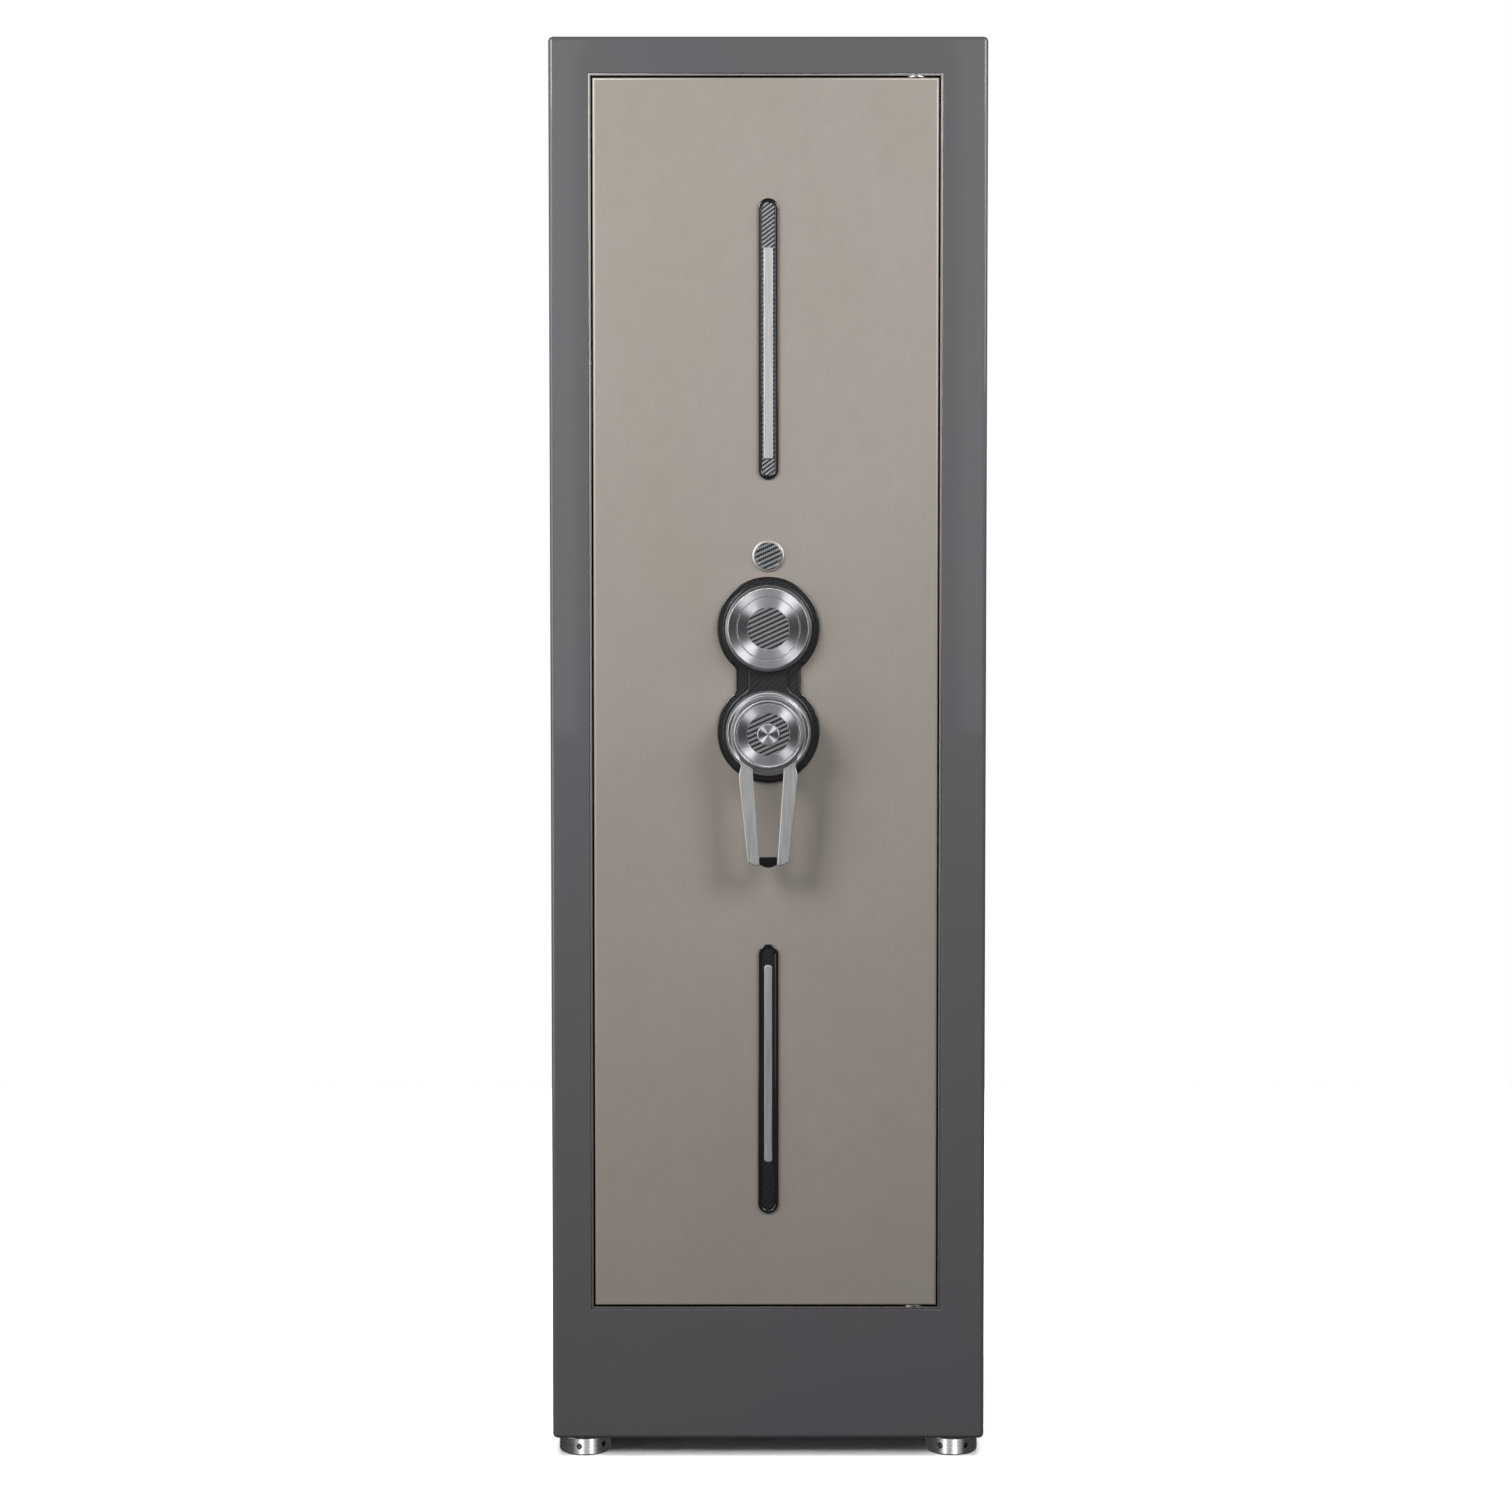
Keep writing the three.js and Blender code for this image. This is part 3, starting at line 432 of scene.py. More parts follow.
def cabinet_casing():
    """The welded cabinet as one lacquered shell with rounded outer edges and a framed door opening."""
    outer_round, opening_round = 5 * MM, 0.8 * MM
    left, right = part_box("wall_left"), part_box("wall_right")
    stile, frame_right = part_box("frame_stile_left"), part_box("frame_stile_right")
    outer = (left[0].x, right[1].x, stile[0].z, stile[1].z)
    inner = (left[1].x, right[0].x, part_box("floor")[1].z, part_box("roof")[0].z)
    opening = (stile[1].x, frame_right[0].x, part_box("frame_rail_bottom")[1].z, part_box("frame_rail_top")[0].z)
    inner_back, back = (corner.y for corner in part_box("wall_back"))
    bm = bmesh.new()

    def ring(bounds, y):
        return [bm.verts.new((p.x, y, p.y)) for p in rectangle(*bounds)]

    rings = [ring(outer, back), ring(outer, FRONT), ring(opening, FRONT), ring(opening, stile[1].y),
             ring(inner, stile[1].y), ring(inner, inner_back)]
    for first, second in zip(rings, rings[1:]):
        for k in range(4):
            bm.faces.new((first[k], first[(k + 1) % 4], second[(k + 1) % 4], second[k]))
    bm.faces.new(rings[0])
    bm.faces.new(rings[-1])
    outside = {v for r in rings[:2] for v in r}
    outer_edges = [e for e in bm.edges if set(e.verts) <= outside]
    opening_edges = [e for e in bm.edges if set(e.verts) <= set(rings[2])]
    bmesh.ops.bevel(bm, geom=outer_edges, offset=outer_round, segments=6, affect="EDGES", profile=0.5)
    opening_edges = [e for e in opening_edges if e.is_valid]
    bmesh.ops.bevel(bm, geom=opening_edges, offset=opening_round, segments=3, affect="EDGES", profile=0.5)
    nodes = ["frame_stile_left", "frame_stile_right", "frame_rail_top", "frame_rail_bottom",
             "wall_left", "wall_right", "roof", "floor", "wall_back"]
    finished("cabinet_casing", bm, "cabinet", "cabinet_lacquer", nodes)


def opening_trim():
    """The thin metal strip round the door opening."""
    width, edge_round = 2.2 * MM, 0.5 * MM
    low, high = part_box("opening_trim")
    outer = rectangle(low.x, high.x, low.z, high.z)
    inner = rectangle(low.x + width, high.x - width, low.z + width, high.z - width)
    section = rounded_section(high.y, low.y, edge_round)
    plate("opening_strip", outer, [inner], section, "cabinet", "trim_metal", ["opening_trim"],
          hole_section=section)


def foot(name):
    """A turned foot with radial holes for a turning bar."""
    stem, chamfer, shoulder, ease = 6 * MM, 1.2 * MM, 1.5 * MM, 0.6 * MM
    middle, stem_top = centre(name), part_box(name)[1].z
    radius, top = radius_of(name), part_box("floor")[0].z - GAP
    profile = eased([(0, 0), (radius - chamfer, 0, ease), (radius, chamfer, ease),
                     (radius, top - shoulder, ease), (radius - shoulder, top, ease), (stem, top),
                     (stem, stem_top), (0, stem_top)], steps=3)
    origin = (middle.x, middle.y, 0)
    piece = turned(f"{name}_turned", profile, origin, "Z", name, "foot_metal", [name], sides=96)
    drill(piece, foot_holes(middle, radius))


def foot_holes(middle, radius):
    """Cutters for a foot's radial holes, each with a wider mouth; feet stand at different turns."""
    count, sides, height = 6, 20, 10 * MM
    depth, bore_radius, mouth_radius, lip = 14 * MM, 2.8 * MM, 3.6 * MM, 1.0 * MM
    left_turn, right_turn = math.radians(-10), math.radians(31)
    turn = left_turn if middle.x < 0 else right_turn
    cutter = [(0, depth), (bore_radius, depth), (bore_radius, lip), (mouth_radius, -lip), (0, -lip)]
    tools = bmesh.new()
    for k in range(count):
        known = len(tools.verts)
        add_turned(tools, cutter, Vector((0, -radius, 0)), "Y", sides)
        tools.verts.ensure_lookup_table()
        spin = Matrix.Rotation(turn + 2 * math.pi * k / count, 4, "Z")
        place = Matrix.Translation((middle.x, middle.y, height)) @ spin
        bmesh.ops.transform(tools, matrix=place, verts=tools.verts[known:])
    bmesh.ops.recalc_face_normals(tools, faces=tools.faces)
    return tools


def drill(piece, tools):
    """Cuts the shapes in the bmesh tools out of piece and keeps the result as its mesh."""
    mesh = bpy.data.meshes.new("cutter")
    tools.to_mesh(mesh)
    tools.free()
    cutter = bpy.data.objects.new("cutter", mesh)
    bpy.context.scene.collection.objects.link(cutter)
    modifier = piece.modifiers.new("holes", "BOOLEAN")
    modifier.object, modifier.operation, modifier.solver = cutter, "DIFFERENCE", "EXACT"
    shading = piece.modifiers["even_shading"]
    shading.show_viewport = False
    shape = bpy.data.meshes.new_from_object(piece.evaluated_get(bpy.context.evaluated_depsgraph_get()))
    shading.show_viewport = True
    piece.modifiers.remove(modifier)
    piece.data = shape
    bpy.data.objects.remove(cutter)
    bm = bmesh.new()
    bm.from_mesh(shape)
    shade_smooth(bm)
    bm.to_mesh(shape)
    bm.free()


def hinge_washers():
    """Steel thrust washers in the gaps between the leaf and the frame."""
    inside = radius_of("hinge_pin_lower") + GAP
    outside, ease = inside + 5 * MM, 0.4 * MM
    leaf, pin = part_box("door_face"), centre("hinge_pin_lower")
    frame_bottom, frame_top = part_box("frame_rail_bottom")[1].z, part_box("frame_rail_top")[0].z
    for place, low, high in (("lower", frame_bottom, leaf[0].z), ("upper", leaf[1].z, frame_top)):
        profile = eased([(inside, low + GAP), (outside, low + GAP, ease), (outside, high - GAP, ease),
                         (inside, high - GAP)])
        turned(f"hinge_washer_{place}", profile, (pin.x, pin.y, 0), "Z", "cabinet", "boltwork_steel",
               sides=48, closed=True)


def felted_board(name, node, outline, top_round):
    """A board under felt: eased below, rounded above by top_round."""
    low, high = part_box(node)
    section = rounded_section(low.z, high.z, top_round, back_radius=2 * MM)
    plate(name, outline, [], section, "cabinet", "felt", [node], axis="Z")


def interior():
    """The shelf, the butt rest and the barrel rack."""
    for name, top_round in (("shelf", 3 * MM), ("butt_rest", 6 * MM)):
        low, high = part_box(name)
        felted_board(f"felted_{name}", name, rectangle(low.x, high.x, low.y, high.y), top_round)
    felted_board("felted_barrel_rack", "barrel_rack", rack_outline(), 2 * MM)


def rack_outline():
    """The barrel rack seen from above: round-ended notches open to the front."""
    notches, pitch, radius, straight, steps = 5, 80 * MM, 18 * MM, 37 * MM, 16
    low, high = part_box("barrel_rack")
    corners = [Vector((low.x, high.y)), Vector((low.x, low.y))]
    for i in range(notches):
        x = (i - (notches - 1) / 2) * pitch
        corners.append(Vector((x - radius, low.y)))
        for k in range(steps + 1):
            angle = math.pi * (1 - k / steps)
            depth = straight + radius * math.sin(angle)
            corners.append(Vector((x + radius * math.cos(angle), low.y + depth)))
        corners.append(Vector((x + radius, low.y)))
    return corners + [Vector((high.x, low.y)), Vector((high.x, high.y))]


def wall_felt():
    """Felt panels on the side walls, below and above the shelf."""
    thick, edge_round = 2.5 * MM, 1.5 * MM
    shelf_low, shelf_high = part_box("shelf")
    floor_top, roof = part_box("floor")[1].z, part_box("roof")[0].z
    front, back = FRONT + 110 * MM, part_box("wall_back")[0].y - 2 * thick
    wall = abs(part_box("wall_left")[1].x) - GAP
    for zone, bottom, top in (("lower", floor_top, shelf_low.z), ("upper", shelf_high.z, roof)):
        panel = rectangle(front, back, bottom + thick, top - thick)
        for side, label in ((-1, "left"), (1, "right")):
            bm = bmesh.new()
            add_plate(bm, panel, [], rounded_section(0, thick, edge_round), None)
            turn = Matrix(((0, -side, 0, side * wall), (1, 0, 0, 0), (0, 0, 1, 0), (0, 0, 0, 1)))
            bmesh.ops.transform(bm, matrix=turn, verts=bm.verts)
            finished(f"felt_{label}_{zone}", bm, "cabinet", "felt")


# ---- Door ----

def bore(node, z):
    """The outline of a hole at height z that clears a round node."""
    return circle(z, radius_of(node) + GAP, 48)


def lock_holes():
    """The holes behind the dial and the handle; the handle's is as wide as the key cylinder's."""
    return [bore("dial_spindle", centre("dial_disc").z), bore("key_cylinder", centre("handle_hub").z)]


def door_panel():
    """The face of the door: one plate with a rounded bevel all round."""
    bevel, steps = 3 * MM, 6
    low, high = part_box("door_face")
    holes = lock_holes() + [bore("key_cylinder", centre("key_cylinder").z)]
    section = rounded_section(high.y, low.y, bevel, steps)
    plate("door_panel", rectangle(low.x, high.x, low.z, high.z), holes, section, "door", "door_paint",
          ["door_face"])


def door_pan():
    """The folded steel pan that closes the back of the leaf round the fire board."""
    fold_round, edge = 2 * MM, 0.4 * MM
    low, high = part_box("door_core")
    section = rounded_section(low.y, high.y, fold_round, back_radius=edge)
    plate("door_pan", rectangle(low.x, high.x, low.z, high.z), lock_holes(), section, "door", "case_paint",
          ["door_core"])


def twin_outline(radius, neck, fillet, low_z, high_z, steps=48, fillet_steps=6):
    """Two discs joined by a straight neck, with a fillet where neck and disc meet."""
    rise = math.sqrt((radius + fillet) ** 2 - (neck + fillet) ** 2)
    swing = math.atan2(neck + fillet, rise)
    points = []

    def arc(x, z, r, start, end, count):
        for k in range(count + 1):
            angle = start + (end - start) * k / count
            points.append(Vector((x + r * math.cos(angle), z + r * math.sin(angle))))

    quarter = math.pi / 2
    arc(0, low_z, radius, quarter + swing, 5 * quarter - swing, steps)
    arc(neck + fillet, low_z + rise, fillet, -quarter - swing, -math.pi, fillet_steps)
    arc(neck + fillet, high_z - rise, fillet, math.pi, quarter + swing, fillet_steps)
    arc(0, high_z, radius, -quarter + swing, 3 * quarter - swing, steps)
    arc(-neck - fillet, high_z - rise, fillet, quarter - swing, 0, fillet_steps)
    arc(-neck - fillet, low_z + rise, fillet, 0, -quarter + swing, fillet_steps)
    return points


def lock_plates():
    """The carbon plate with a raised black rim, and the panel that stands on it."""
    dial_z, handle_z = centre("dial_disc").z, centre("handle_hub").z
    neck, fillet, rim, sunk = 34.6 * MM, 7 * MM, 2.4 * MM, 1.1 * MM
    low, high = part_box("lock_plate")
    outline = twin_outline((high.x - low.x) / 2, neck, fillet, handle_z, dial_z)
    field = inset_loop(anticlockwise(outline), rim)
    plate("lock_plate_rim", outline, [field], rounded_section(high.y, low.y, sunk), "door", "black_gloss",
          ["lock_plate"], hole_section=rounded_section(high.y, low.y, 0.8 * MM))
    flat = [(0.05 * MM, high.y), (0.05 * MM, low.y + sunk)]
    plate("lock_plate_field", field, lock_holes(), flat, "door", "carbon_weave", ["lock_plate"])
    panel_neck, panel_fillet, panel_foot = 20.6 * MM, 9 * MM, 1.3 * MM
    low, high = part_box("lock_plate_panel")
    raised = twin_outline((high.x - low.x) / 2, panel_neck, panel_fillet, handle_z, dial_z)
    section = rounded_section(high.y + panel_foot - GAP, low.y, 0.7 * MM)
    plate("lock_plate_raised_panel", raised, lock_holes(), section, "door", "carbon_weave",
          ["lock_plate_panel"])


def slot_inset(name, bar_corner, weave):
    """A long inset: gloss black bezel, carbon floor and a satin bar with its corners rounded."""
    outer_round, inner_round, weave_edge, bar_edge = 1.6 * MM, 1.2 * MM, 0.3 * MM, 0.9 * MM
    low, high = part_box(f"{name}_bezel")
    inlay_low, inlay_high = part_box(f"{name}_inlay")
    half = (high.x - low.x) / 2
    inner = (inlay_high.x - inlay_low.x) / 2 + GAP
    hole = round_strip(low, high, inner, inset=half - inner)
    section = rounded_section(high.y, low.y, outer_round, 5)
    plate(f"{name}_frame", round_strip(low, high, half), [hole], section, "door", "black_gloss",
          [f"{name}_bezel"], hole_section=rounded_section(high.y, low.y, inner_round))
    floor = round_strip(inlay_low, inlay_high, inner - GAP)
    plate(f"{name}_weave", floor, [], rounded_section(inlay_high.y, inlay_low.y, weave_edge, 2), "door",
          "carbon_weave", [f"{name}_inlay"], material=weave)
    bar_low, bar_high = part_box(f"{name}_bar")
    plate(f"{name}_strip", round_strip(bar_low, bar_high, bar_corner), [],
          rounded_section(bar_high.y, bar_low.y, bar_edge), "door", "satin_metal", [f"{name}_bar"])


def keyhole_bezel():
    """The ring round the keyhole, its front rounded off outwards."""
    width, ease = 3.8 * MM, 0.5 * MM
    low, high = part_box("keyhole_ring")
    outside = radius_of("keyhole_ring")
    inside = outside - width
    profile = eased([(inside, high.y), (inside, low.y, 0.4 * MM), (outside - 1.2 * MM, low.y, ease),
                     (outside, high.y - ease, 0.2 * MM), (outside, high.y)])
    origin = (0, 0, centre("keyhole_ring").z)
    turned("keyhole_bezel", profile, origin, "Y", "door", "satin_metal", ["keyhole_ring"], closed=True)


def key_cover():
    """The round cover over the keyhole: a carbon disc with a fine lip, hung on a stud above its centre."""
    lip, lip_height, edge, stud_radius, stud_rise = 1.6 * MM, 0.25 * MM, 0.3 * MM, 1.5 * MM, 11 * MM
    low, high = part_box("key_cover")
    z, radius = centre("keyhole_ring").z, radius_of("key_cover")
    front, back = low.y, FRONT - 2.1 * MM
    disc = eased([(0, front + lip_height), (radius - lip - 0.4 * MM, front + lip_height),
                  (radius - lip, front, 0.2 * MM), (radius - 0.5 * MM, front, edge),
                  (radius, front + 0.6 * MM, edge), (radius, back, edge), (0, back)])
    bm = bmesh.new()
    add_turned(bm, disc, Vector((0, 0, z)), "Y", FINE)
    root = back - 0.4 * MM
    stud = [(0, root), (stud_radius, root), (stud_radius, high.y), (0, high.y)]
    add_turned(bm, stud, Vector((0, 0, z + stud_rise)), "Y", 24)
    finished("key_cover_disc", bm, "key_cover", "carbon_weave", ["key_cover"], CARBON_INLAY)


# ---- Dial and handle ----

def dial():
    """The dial: a bevelled spun disc with a bright groove and a carbon centre."""
    low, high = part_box("dial_disc")
    radius, front, back = radius_of("dial_disc"), low.y, high.y
    bevel, groove, seat = radius - 3.4 * MM, radius - 12.6 * MM, radius_of("dial_inlay") + GAP
    spindle, spindle_end = radius_of("dial_spindle") + GAP, back - 5.7 * MM
    floor, groove_floor, rim = front + 1.5 * MM, front + 0.7 * MM, front + 3.6 * MM
    groove_top, groove_base, fine, ease, chamfer = 0.6 * MM, 0.2 * MM, 0.15 * MM, 0.4 * MM, 1.0 * MM
    profile = eased([
        (0, floor), (seat, floor), (seat, front, 0.2 * MM),
        (groove - groove_top, front, fine), (groove - groove_base, groove_floor),
        (groove + groove_base, groove_floor), (groove + groove_top, front, fine),
        (bevel, front, ease), (radius - 0.6 * MM, rim - 1.0 * MM, ease), (radius, rim, ease),
        (radius, back - chamfer, ease), (radius - chamfer, back), (spindle, back),
        (spindle, spindle_end), (0, spindle_end)])
    origin = (0, 0, centre("dial_disc").z)
    turned("dial_face", profile, origin, "Y", "dial", "spun_metal", ["dial_disc"], sides=192)
    carbon_disc("dial_carbon", "dial_inlay", 0.0, "dial")


def carbon_disc(name, node, inner, body):
    """A thin carbon disc or ring with a fine chamfer round it."""
    chamfer = 0.01 * MM, 0.25 * MM
    low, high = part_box(node)
    radius = radius_of(node)
    profile = [(inner, low.y), (radius - chamfer[0], low.y), (radius, low.y + chamfer[1]), (radius, high.y),
               (inner, high.y)]
    turned(name, profile, (0, 0, centre(node).z), "Y", body, "carbon_weave", [node], CARBON_INLAY,
           closed=inner > 0)


def handle_hub():
    """The hub: a drum, a stepped boss with a bright ring, and a face ring round the carbon."""
    low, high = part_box("handle_hub")
    drum, front, back = radius_of("handle_hub"), low.y, high.y
    boss, ring, seat = drum - 6.3 * MM, drum - 11.6 * MM, radius_of("handle_inlay") + GAP
    face, recess, step = front + 2.0 * MM, front + 4.5 * MM, FRONT - 30 * MM
    spindle, spindle_end = 8.3 * MM, FRONT - 20 * MM
    gutter = face + 0.8 * MM
    fine, ease = 0.3 * MM, 0.4 * MM
    profile = eased([
        (0, recess), (seat, recess), (seat, face, 0.2 * MM), (ring - 1.2 * MM, face, fine),
        (ring - 0.7 * MM, gutter), (ring - 0.1 * MM, gutter), (ring + 0.6 * MM, front, fine),
        (ring + 2.2 * MM, front, ease), (boss - 1.6 * MM, front + 1.4 * MM, ease),
        (boss, front + 3.4 * MM, 0.6 * MM), (boss, step - 0.8 * MM), (boss + 0.8 * MM, step, 0.2 * MM),
        (drum - 2.4 * MM, step, 0.5 * MM), (drum, step + 2.6 * MM, 0.8 * MM),
        (drum, back - 2.0 * MM, 0.5 * MM), (drum - 2.0 * MM, back, ease),
        (spindle, back), (spindle, spindle_end), (0, spindle_end)])
    origin = (0, 0, centre("handle_hub").z)
    turned("handle_hub_turned", profile, origin, "Y", "handle", "spun_metal", ["handle_hub"], sides=192)
    carbon_disc("handle_carbon", "handle_inlay", radius_of("handle_button") + GAP, "handle")


def handle_cap():
    """The spun button in the middle of the hub."""
    bevel, rise, ease = 0.9 * MM, 0.8 * MM, 0.3 * MM
    low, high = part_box("handle_button")
    radius = radius_of("handle_button")
    profile = eased([(0, low.y), (radius - bevel, low.y, ease), (radius, low.y + rise, ease),
                     (radius, high.y), (0, high.y)])
    origin = (0, 0, centre("handle_hub").z)
    turned("handle_cap", profile, origin, "Y", "handle", "spun_metal", ["handle_button"])


def handle_leg(side):
    """One leg of the fork: satin face, eased edges, a notch under the hub and a tapering shank."""
    name = "handle_leg_left" if side < 0 else "handle_leg_right"
    low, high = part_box(name)
    axis_z = centre("handle_hub").z
    notch = radius_of("handle_hub") - 6.0 * MM
    notch_steps = 8
    # Distances from the fork's middle line, then below the hub's axis.
    outer, inner_top, inner_end, outer_end = 31.3 * MM, 16 * MM, 9.3 * MM, 21.5 * MM
    notch_end, shoulder = outer - 0.4 * MM, 28.5 * MM
    shoulder_drop, waist_drop, end = 34.5 * MM, 43 * MM, axis_z - low.z
    corners = []
    for k in range(notch_steps + 1):
        x = notch_end - (notch_end - inner_top) * k / notch_steps
        corners.append((x, math.sqrt(notch ** 2 - x ** 2)))
    corners += [(inner_top, waist_drop, 3 * MM), (inner_end, end, 2.2 * MM),
                (16 * MM, end - 0.9 * MM, 2.5 * MM), (outer_end, end - 3.6 * MM, 1.8 * MM),
                (outer, waist_drop, 3.5 * MM), (shoulder, shoulder_drop, 3.5 * MM)]
    outline = [Vector((side * p.x, axis_z - p.y)) for p in eased(corners, closed=True)]
    section = rounded_section(high.y, low.y, 1.1 * MM, back_radius=0.8 * MM)
    plate(f"{name}_shank", outline, [], section, "handle", "satin_metal", [name])


def handle_crossbar():
    """The black bar that joins the legs' ends, bulging downwards."""
    ease, taper, side_rise, bulge = 1.4 * MM, 0.5 * MM, 2.4 * MM, 2.2 * MM
    low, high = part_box("handle_crossbar")
    half_top, half_end = high.x, high.x - taper
    corners = [(-half_top, high.z, ease), (-half_end, low.z + side_rise, ease),
               (0, low.z - bulge, half_end * 0.7), (half_end, low.z + side_rise, ease),
               (half_top, high.z, ease)]
    section = rounded_section(high.y, low.y, 0.8 * MM, 3, back_radius=0.6 * MM)
    plate("handle_crossbar_cast", eased(corners, closed=True), [], section, "handle", "black_gloss",
          ["handle_crossbar"])


# ---- Boltwork and door back ----

def side_bolt(i):
    """A round bolt with a chamfered nose, and the collar that guides it through the case."""
    node, nose, ease = f"side_bolt_{i}", 1.5 * MM, 0.6 * MM
    low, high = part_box(node)
    radius = (high.y - low.y) / 2
    origin = (0, centre(node).y, centre(node).z)
    bolt = eased([(0, low.x), (radius - nose, low.x, ease), (radius, low.x + nose, ease), (radius, high.x),
                  (0, high.x)])
    turned(f"{node}_turned", bolt, origin, "X", "side_bolts", "satin_metal", [node], sides=64)
    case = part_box("case_left")[0].x
    inside, outside, root, end = radius + 0.4 * MM, radius + 4.5 * MM, case - GAP / 3, case - 2 * MM
    collar = eased([(inside, root), (inside, end, 0.4 * MM), (outside - 0.8 * MM, end, 0.5 * MM),
                    (outside, end + 1.0 * MM, 0.3 * MM), (outside, root)])
    turned(f"bolt_guide_{i}", collar, origin, "X", "door", "boltwork_steel", sides=64, closed=True)


def back_cover():
    """The door's back cover: a sheet with rounded edges."""
    low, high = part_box("door_back_cover")
    section = rounded_section(low.y, high.y, 1.2 * MM)
    plate("back_cover_sheet", rectangle(low.x, high.x, low.z, high.z), [], section, "door", "case_paint",
          ["door_back_cover"])


def cover_screws():
    """Pan-head screws that hold the back cover of the door, joined as one piece."""
    inset, rows, sides = 12 * MM, 7, 24
    low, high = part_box("door_back_cover")
    sheet, seat = high.y, high.y + 0.05 * MM
    head = eased([(0, sheet + 0.9 * MM), (1.3 * MM, sheet + 1.1 * MM), (1.7 * MM, sheet + 2.2 * MM, 0.2 * MM),
                  (3.2 * MM, sheet + 2.0 * MM, 0.8 * MM), (4.2 * MM, seat), (0, seat)])
    bm = bmesh.new()
    for x in (low.x + inset, high.x - inset):
        for row in range(rows):
            z = low.z + inset + (high.z - low.z - 2 * inset) * row / (rows - 1)
            add_turned(bm, head, Vector((x, 0, z)), "Y", sides)
    finished("cover_screws", bm, "door", "boltwork_steel")


# ---- Scene ----

FLOOR_REACH = 1.9                # how far the floor runs from the middle of the safe
WORLD_GLOW = 0.08                # how bright the white surroundings are, except straight to the camera
EYE_DISTANCE, EYE_HEIGHT = 3.0, 0.98
EYE_DOWN = math.radians(2.68)


def carried_over():
    """CAD pieces that stay as they are, with their slot's finish."""
    slots = {part["node"]: part["material_slot"] for part in frame["record"]["subparts"]}
    for name, piece in frame["nodes"].items():
        piece.data.materials.clear()
        piece.data.materials.append(LOOKS[slots[name]])


def soft_light(name, place, aim, size, power, spread=180.0):
    """An area light at place that faces aim; a smaller spread in degrees narrows its beam."""
    data = bpy.data.lights.new(name, "AREA")
    data.shape, data.size, data.size_y, data.energy = "RECTANGLE", size[0], size[1], power
    data.spread = math.radians(spread)
    lamp = bpy.data.objects.new(name, data)
    lamp.location = place
    lamp.rotation_euler = (Vector(aim) - Vector(place)).to_track_quat("-Z", "Y").to_euler()
    bpy.context.scene.collection.objects.link(lamp)
    return lamp


def shines_only_on(lamp, pieces):
    group = bpy.data.collections.new(f"lit_by_{lamp.name}")
    for piece in pieces:
        group.objects.link(piece)
    lamp.light_linking.receiver_collection = group


def studio_floor():
    """A flat floor that neither reflects in the safe nor brightens it."""
    corners = rectangle(-FLOOR_REACH, FLOOR_REACH, -FLOOR_REACH, FLOOR_REACH)
    mesh = bpy.data.meshes.new("studio_floor")
    mesh.from_pydata([(p.x, p.y, 0.0) for p in corners], [], [(0, 1, 2, 3)])
    mesh.materials.append(floor_look())
    ground = bpy.data.objects.new("studio_floor", mesh)
    bpy.context.scene.collection.objects.link(ground)
    ground.visible_diffuse = ground.visible_glossy = ground.visible_shadow = False
    return ground


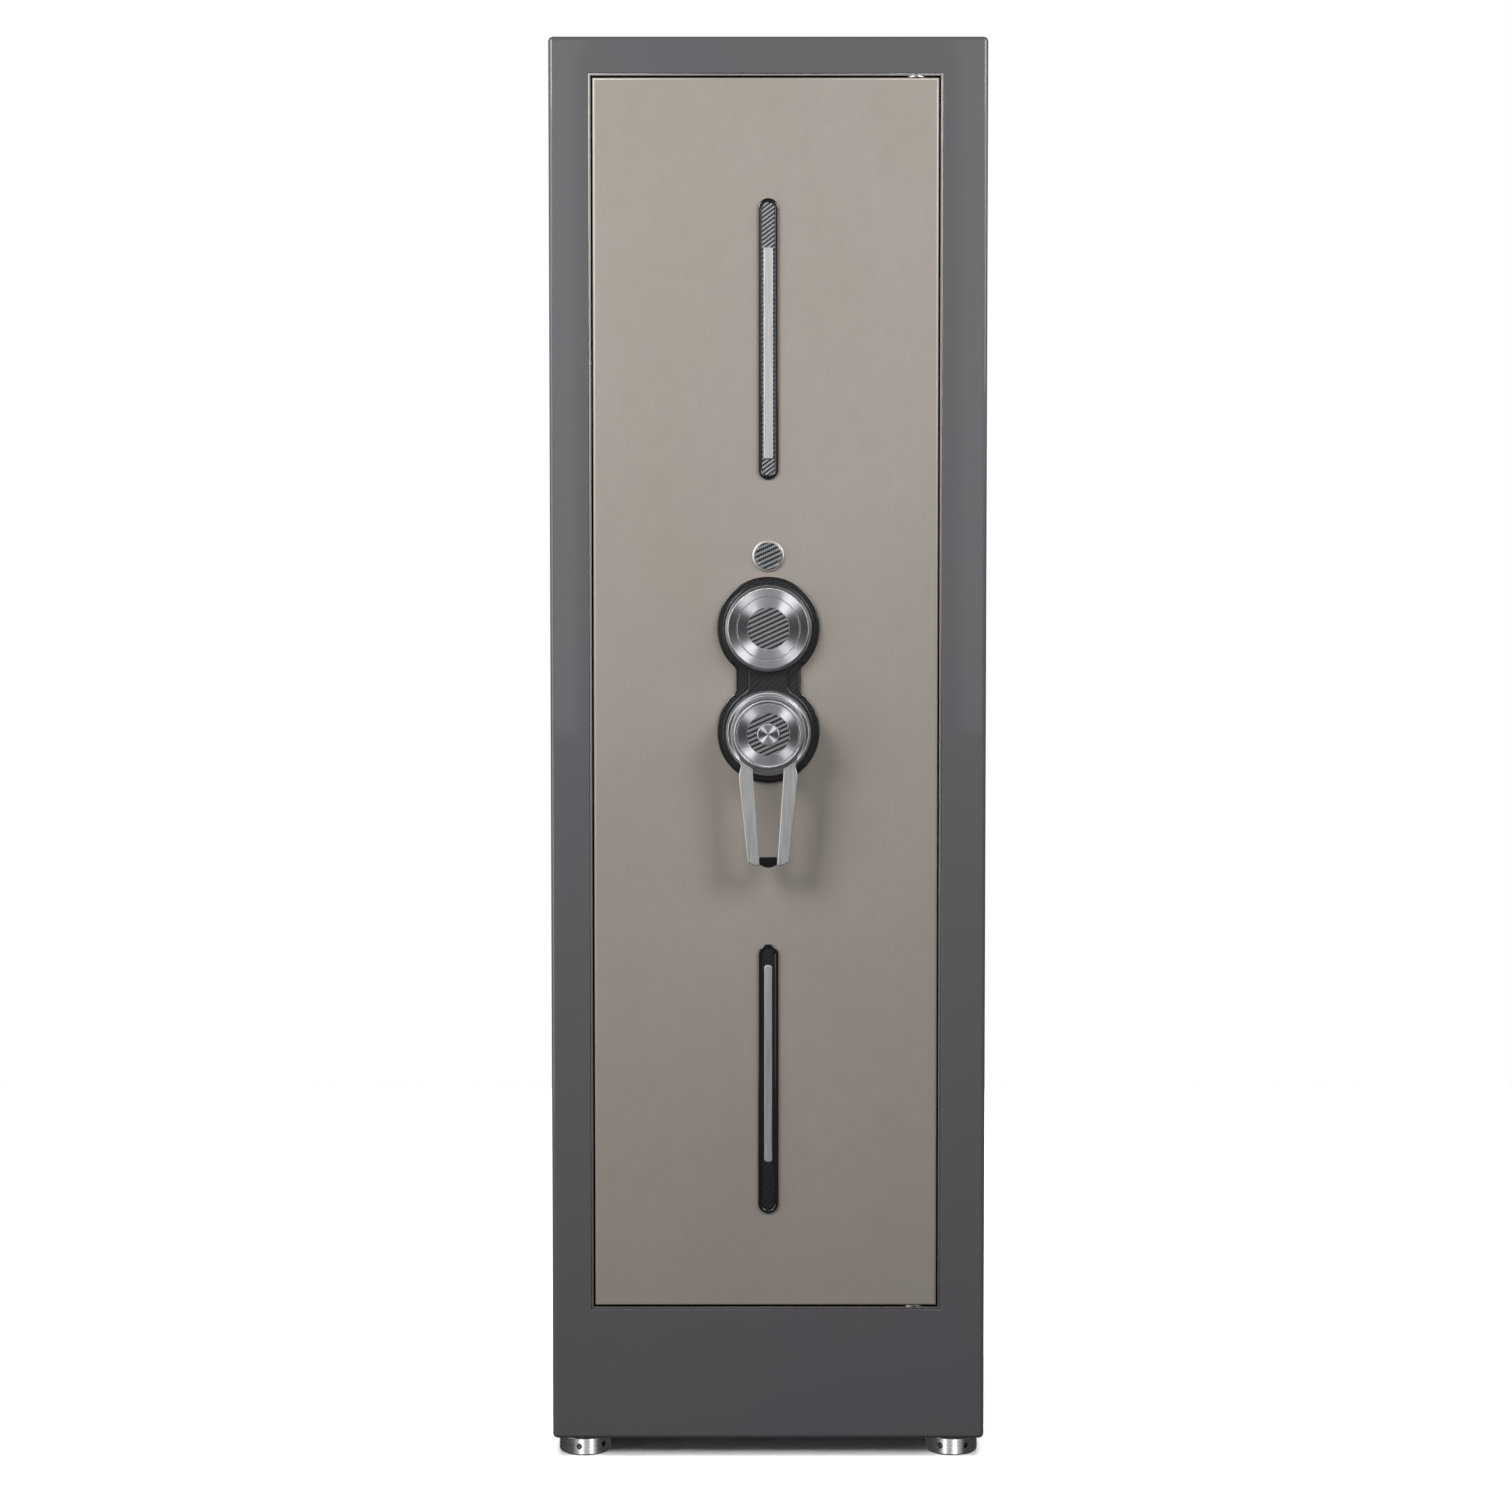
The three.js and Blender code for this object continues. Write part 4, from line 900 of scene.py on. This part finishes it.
def lights(ground):
    """Keys from above, upright cards in front for the gloss, edge lights, and lamps for floor and feet."""
    soft_light("key_left", (-1.9, -2.3, 2.5), (0, -0.2, 1.15), (1.1, 1.3), 19.6, 90.0)
    soft_light("key_right", (1.9, -2.3, 2.5), (0, -0.2, 1.05), (1.1, 1.3), 14.2, 90.0)
    soft_light("card_left", (-0.78, -4.2, 1.42), (-0.78, 0, 1.42), (0.6, 1.8), 4.6)
    soft_light("card_right", (0.78, -4.2, 1.42), (0.78, 0, 1.42), (0.6, 1.8), 3.4)
    soft_light("edge_left", (-1.9, -0.9, 1.0), (-0.2, 0.0, 0.9), (1.3, 2.0), 6.0, 90.0)
    soft_light("edge_right", (1.9, -0.9, 1.7), (0.2, 0.0, 1.3), (1.0, 0.9), 3.5, 90.0)
    shines_only_on(soft_light("floor_light", (0, 0, 4.5), (0, 0, 0), (4.0, 4.0), 460.0), [ground])
    feet = [bpy.data.objects[f"foot_{place}_turned"] for place in FEET]
    for side, x, width, power in (("left", -0.45, 0.25, 2.2), ("right", 0.45, 0.25, 2.2),
                                  ("fill", 0.0, 2.4, 2.6)):
        lamp = soft_light(f"foot_light_{side}", (x, -1.2, -0.34), (x, -0.2, 0.01), (width, 0.6), power)
        shines_only_on(lamp, feet)


def surroundings():
    """White behind the safe as the camera sees it, and only a faint glow for everything else."""
    world = bpy.data.worlds.new("studio")
    world.use_nodes = True
    background = world.node_tree.nodes["Background"]
    seen = world.node_tree.nodes.new("ShaderNodeLightPath").outputs["Is Camera Ray"]
    strength = world.node_tree.nodes.new("ShaderNodeMapRange")
    strength.inputs["To Min"].default_value = WORLD_GLOW
    world.node_tree.links.new(seen, strength.inputs["Value"])
    world.node_tree.links.new(strength.outputs[0], background.inputs["Strength"])
    background.inputs["Color"].default_value = (1.0, 1.0, 1.0, 1.0)
    bpy.context.scene.world = world
    bpy.context.scene.view_settings.view_transform = "Standard"


def camera():
    """Square to the front, slightly above the middle and looking a little down."""
    data = bpy.data.cameras.new("camera")
    data.lens, data.sensor_width = 67.1, 36.0
    data.shift_x, data.shift_y = -0.0081, -0.05
    eye = bpy.data.objects.new("camera", data)
    eye.location = (0.0, FRONT - EYE_DISTANCE, EYE_HEIGHT)
    eye.rotation_euler = (math.pi / 2 - EYE_DOWN, 0, 0)
    bpy.context.scene.collection.objects.link(eye)
    bpy.context.scene.camera = eye


FEET = ("front_left", "front_right", "rear_left", "rear_right")

carried_over()
cabinet_casing()
opening_trim()
for place in FEET:
    foot(f"foot_{place}")
hinge_washers()
interior()
wall_felt()
door_panel()
door_pan()
lock_plates()
slot_inset("upper_slot", 1.2 * MM, CARBON_STRIP)
slot_inset("lower_slot", 3.6 * MM, LOOKS["carbon_weave"])
keyhole_bezel()
key_cover()
dial()
handle_hub()
handle_cap()
handle_leg(-1)
handle_leg(1)
handle_crossbar()
for number in (1, 2, 3):
    side_bolt(number)
back_cover()
cover_screws()
lights(studio_floor())
surroundings()
camera()
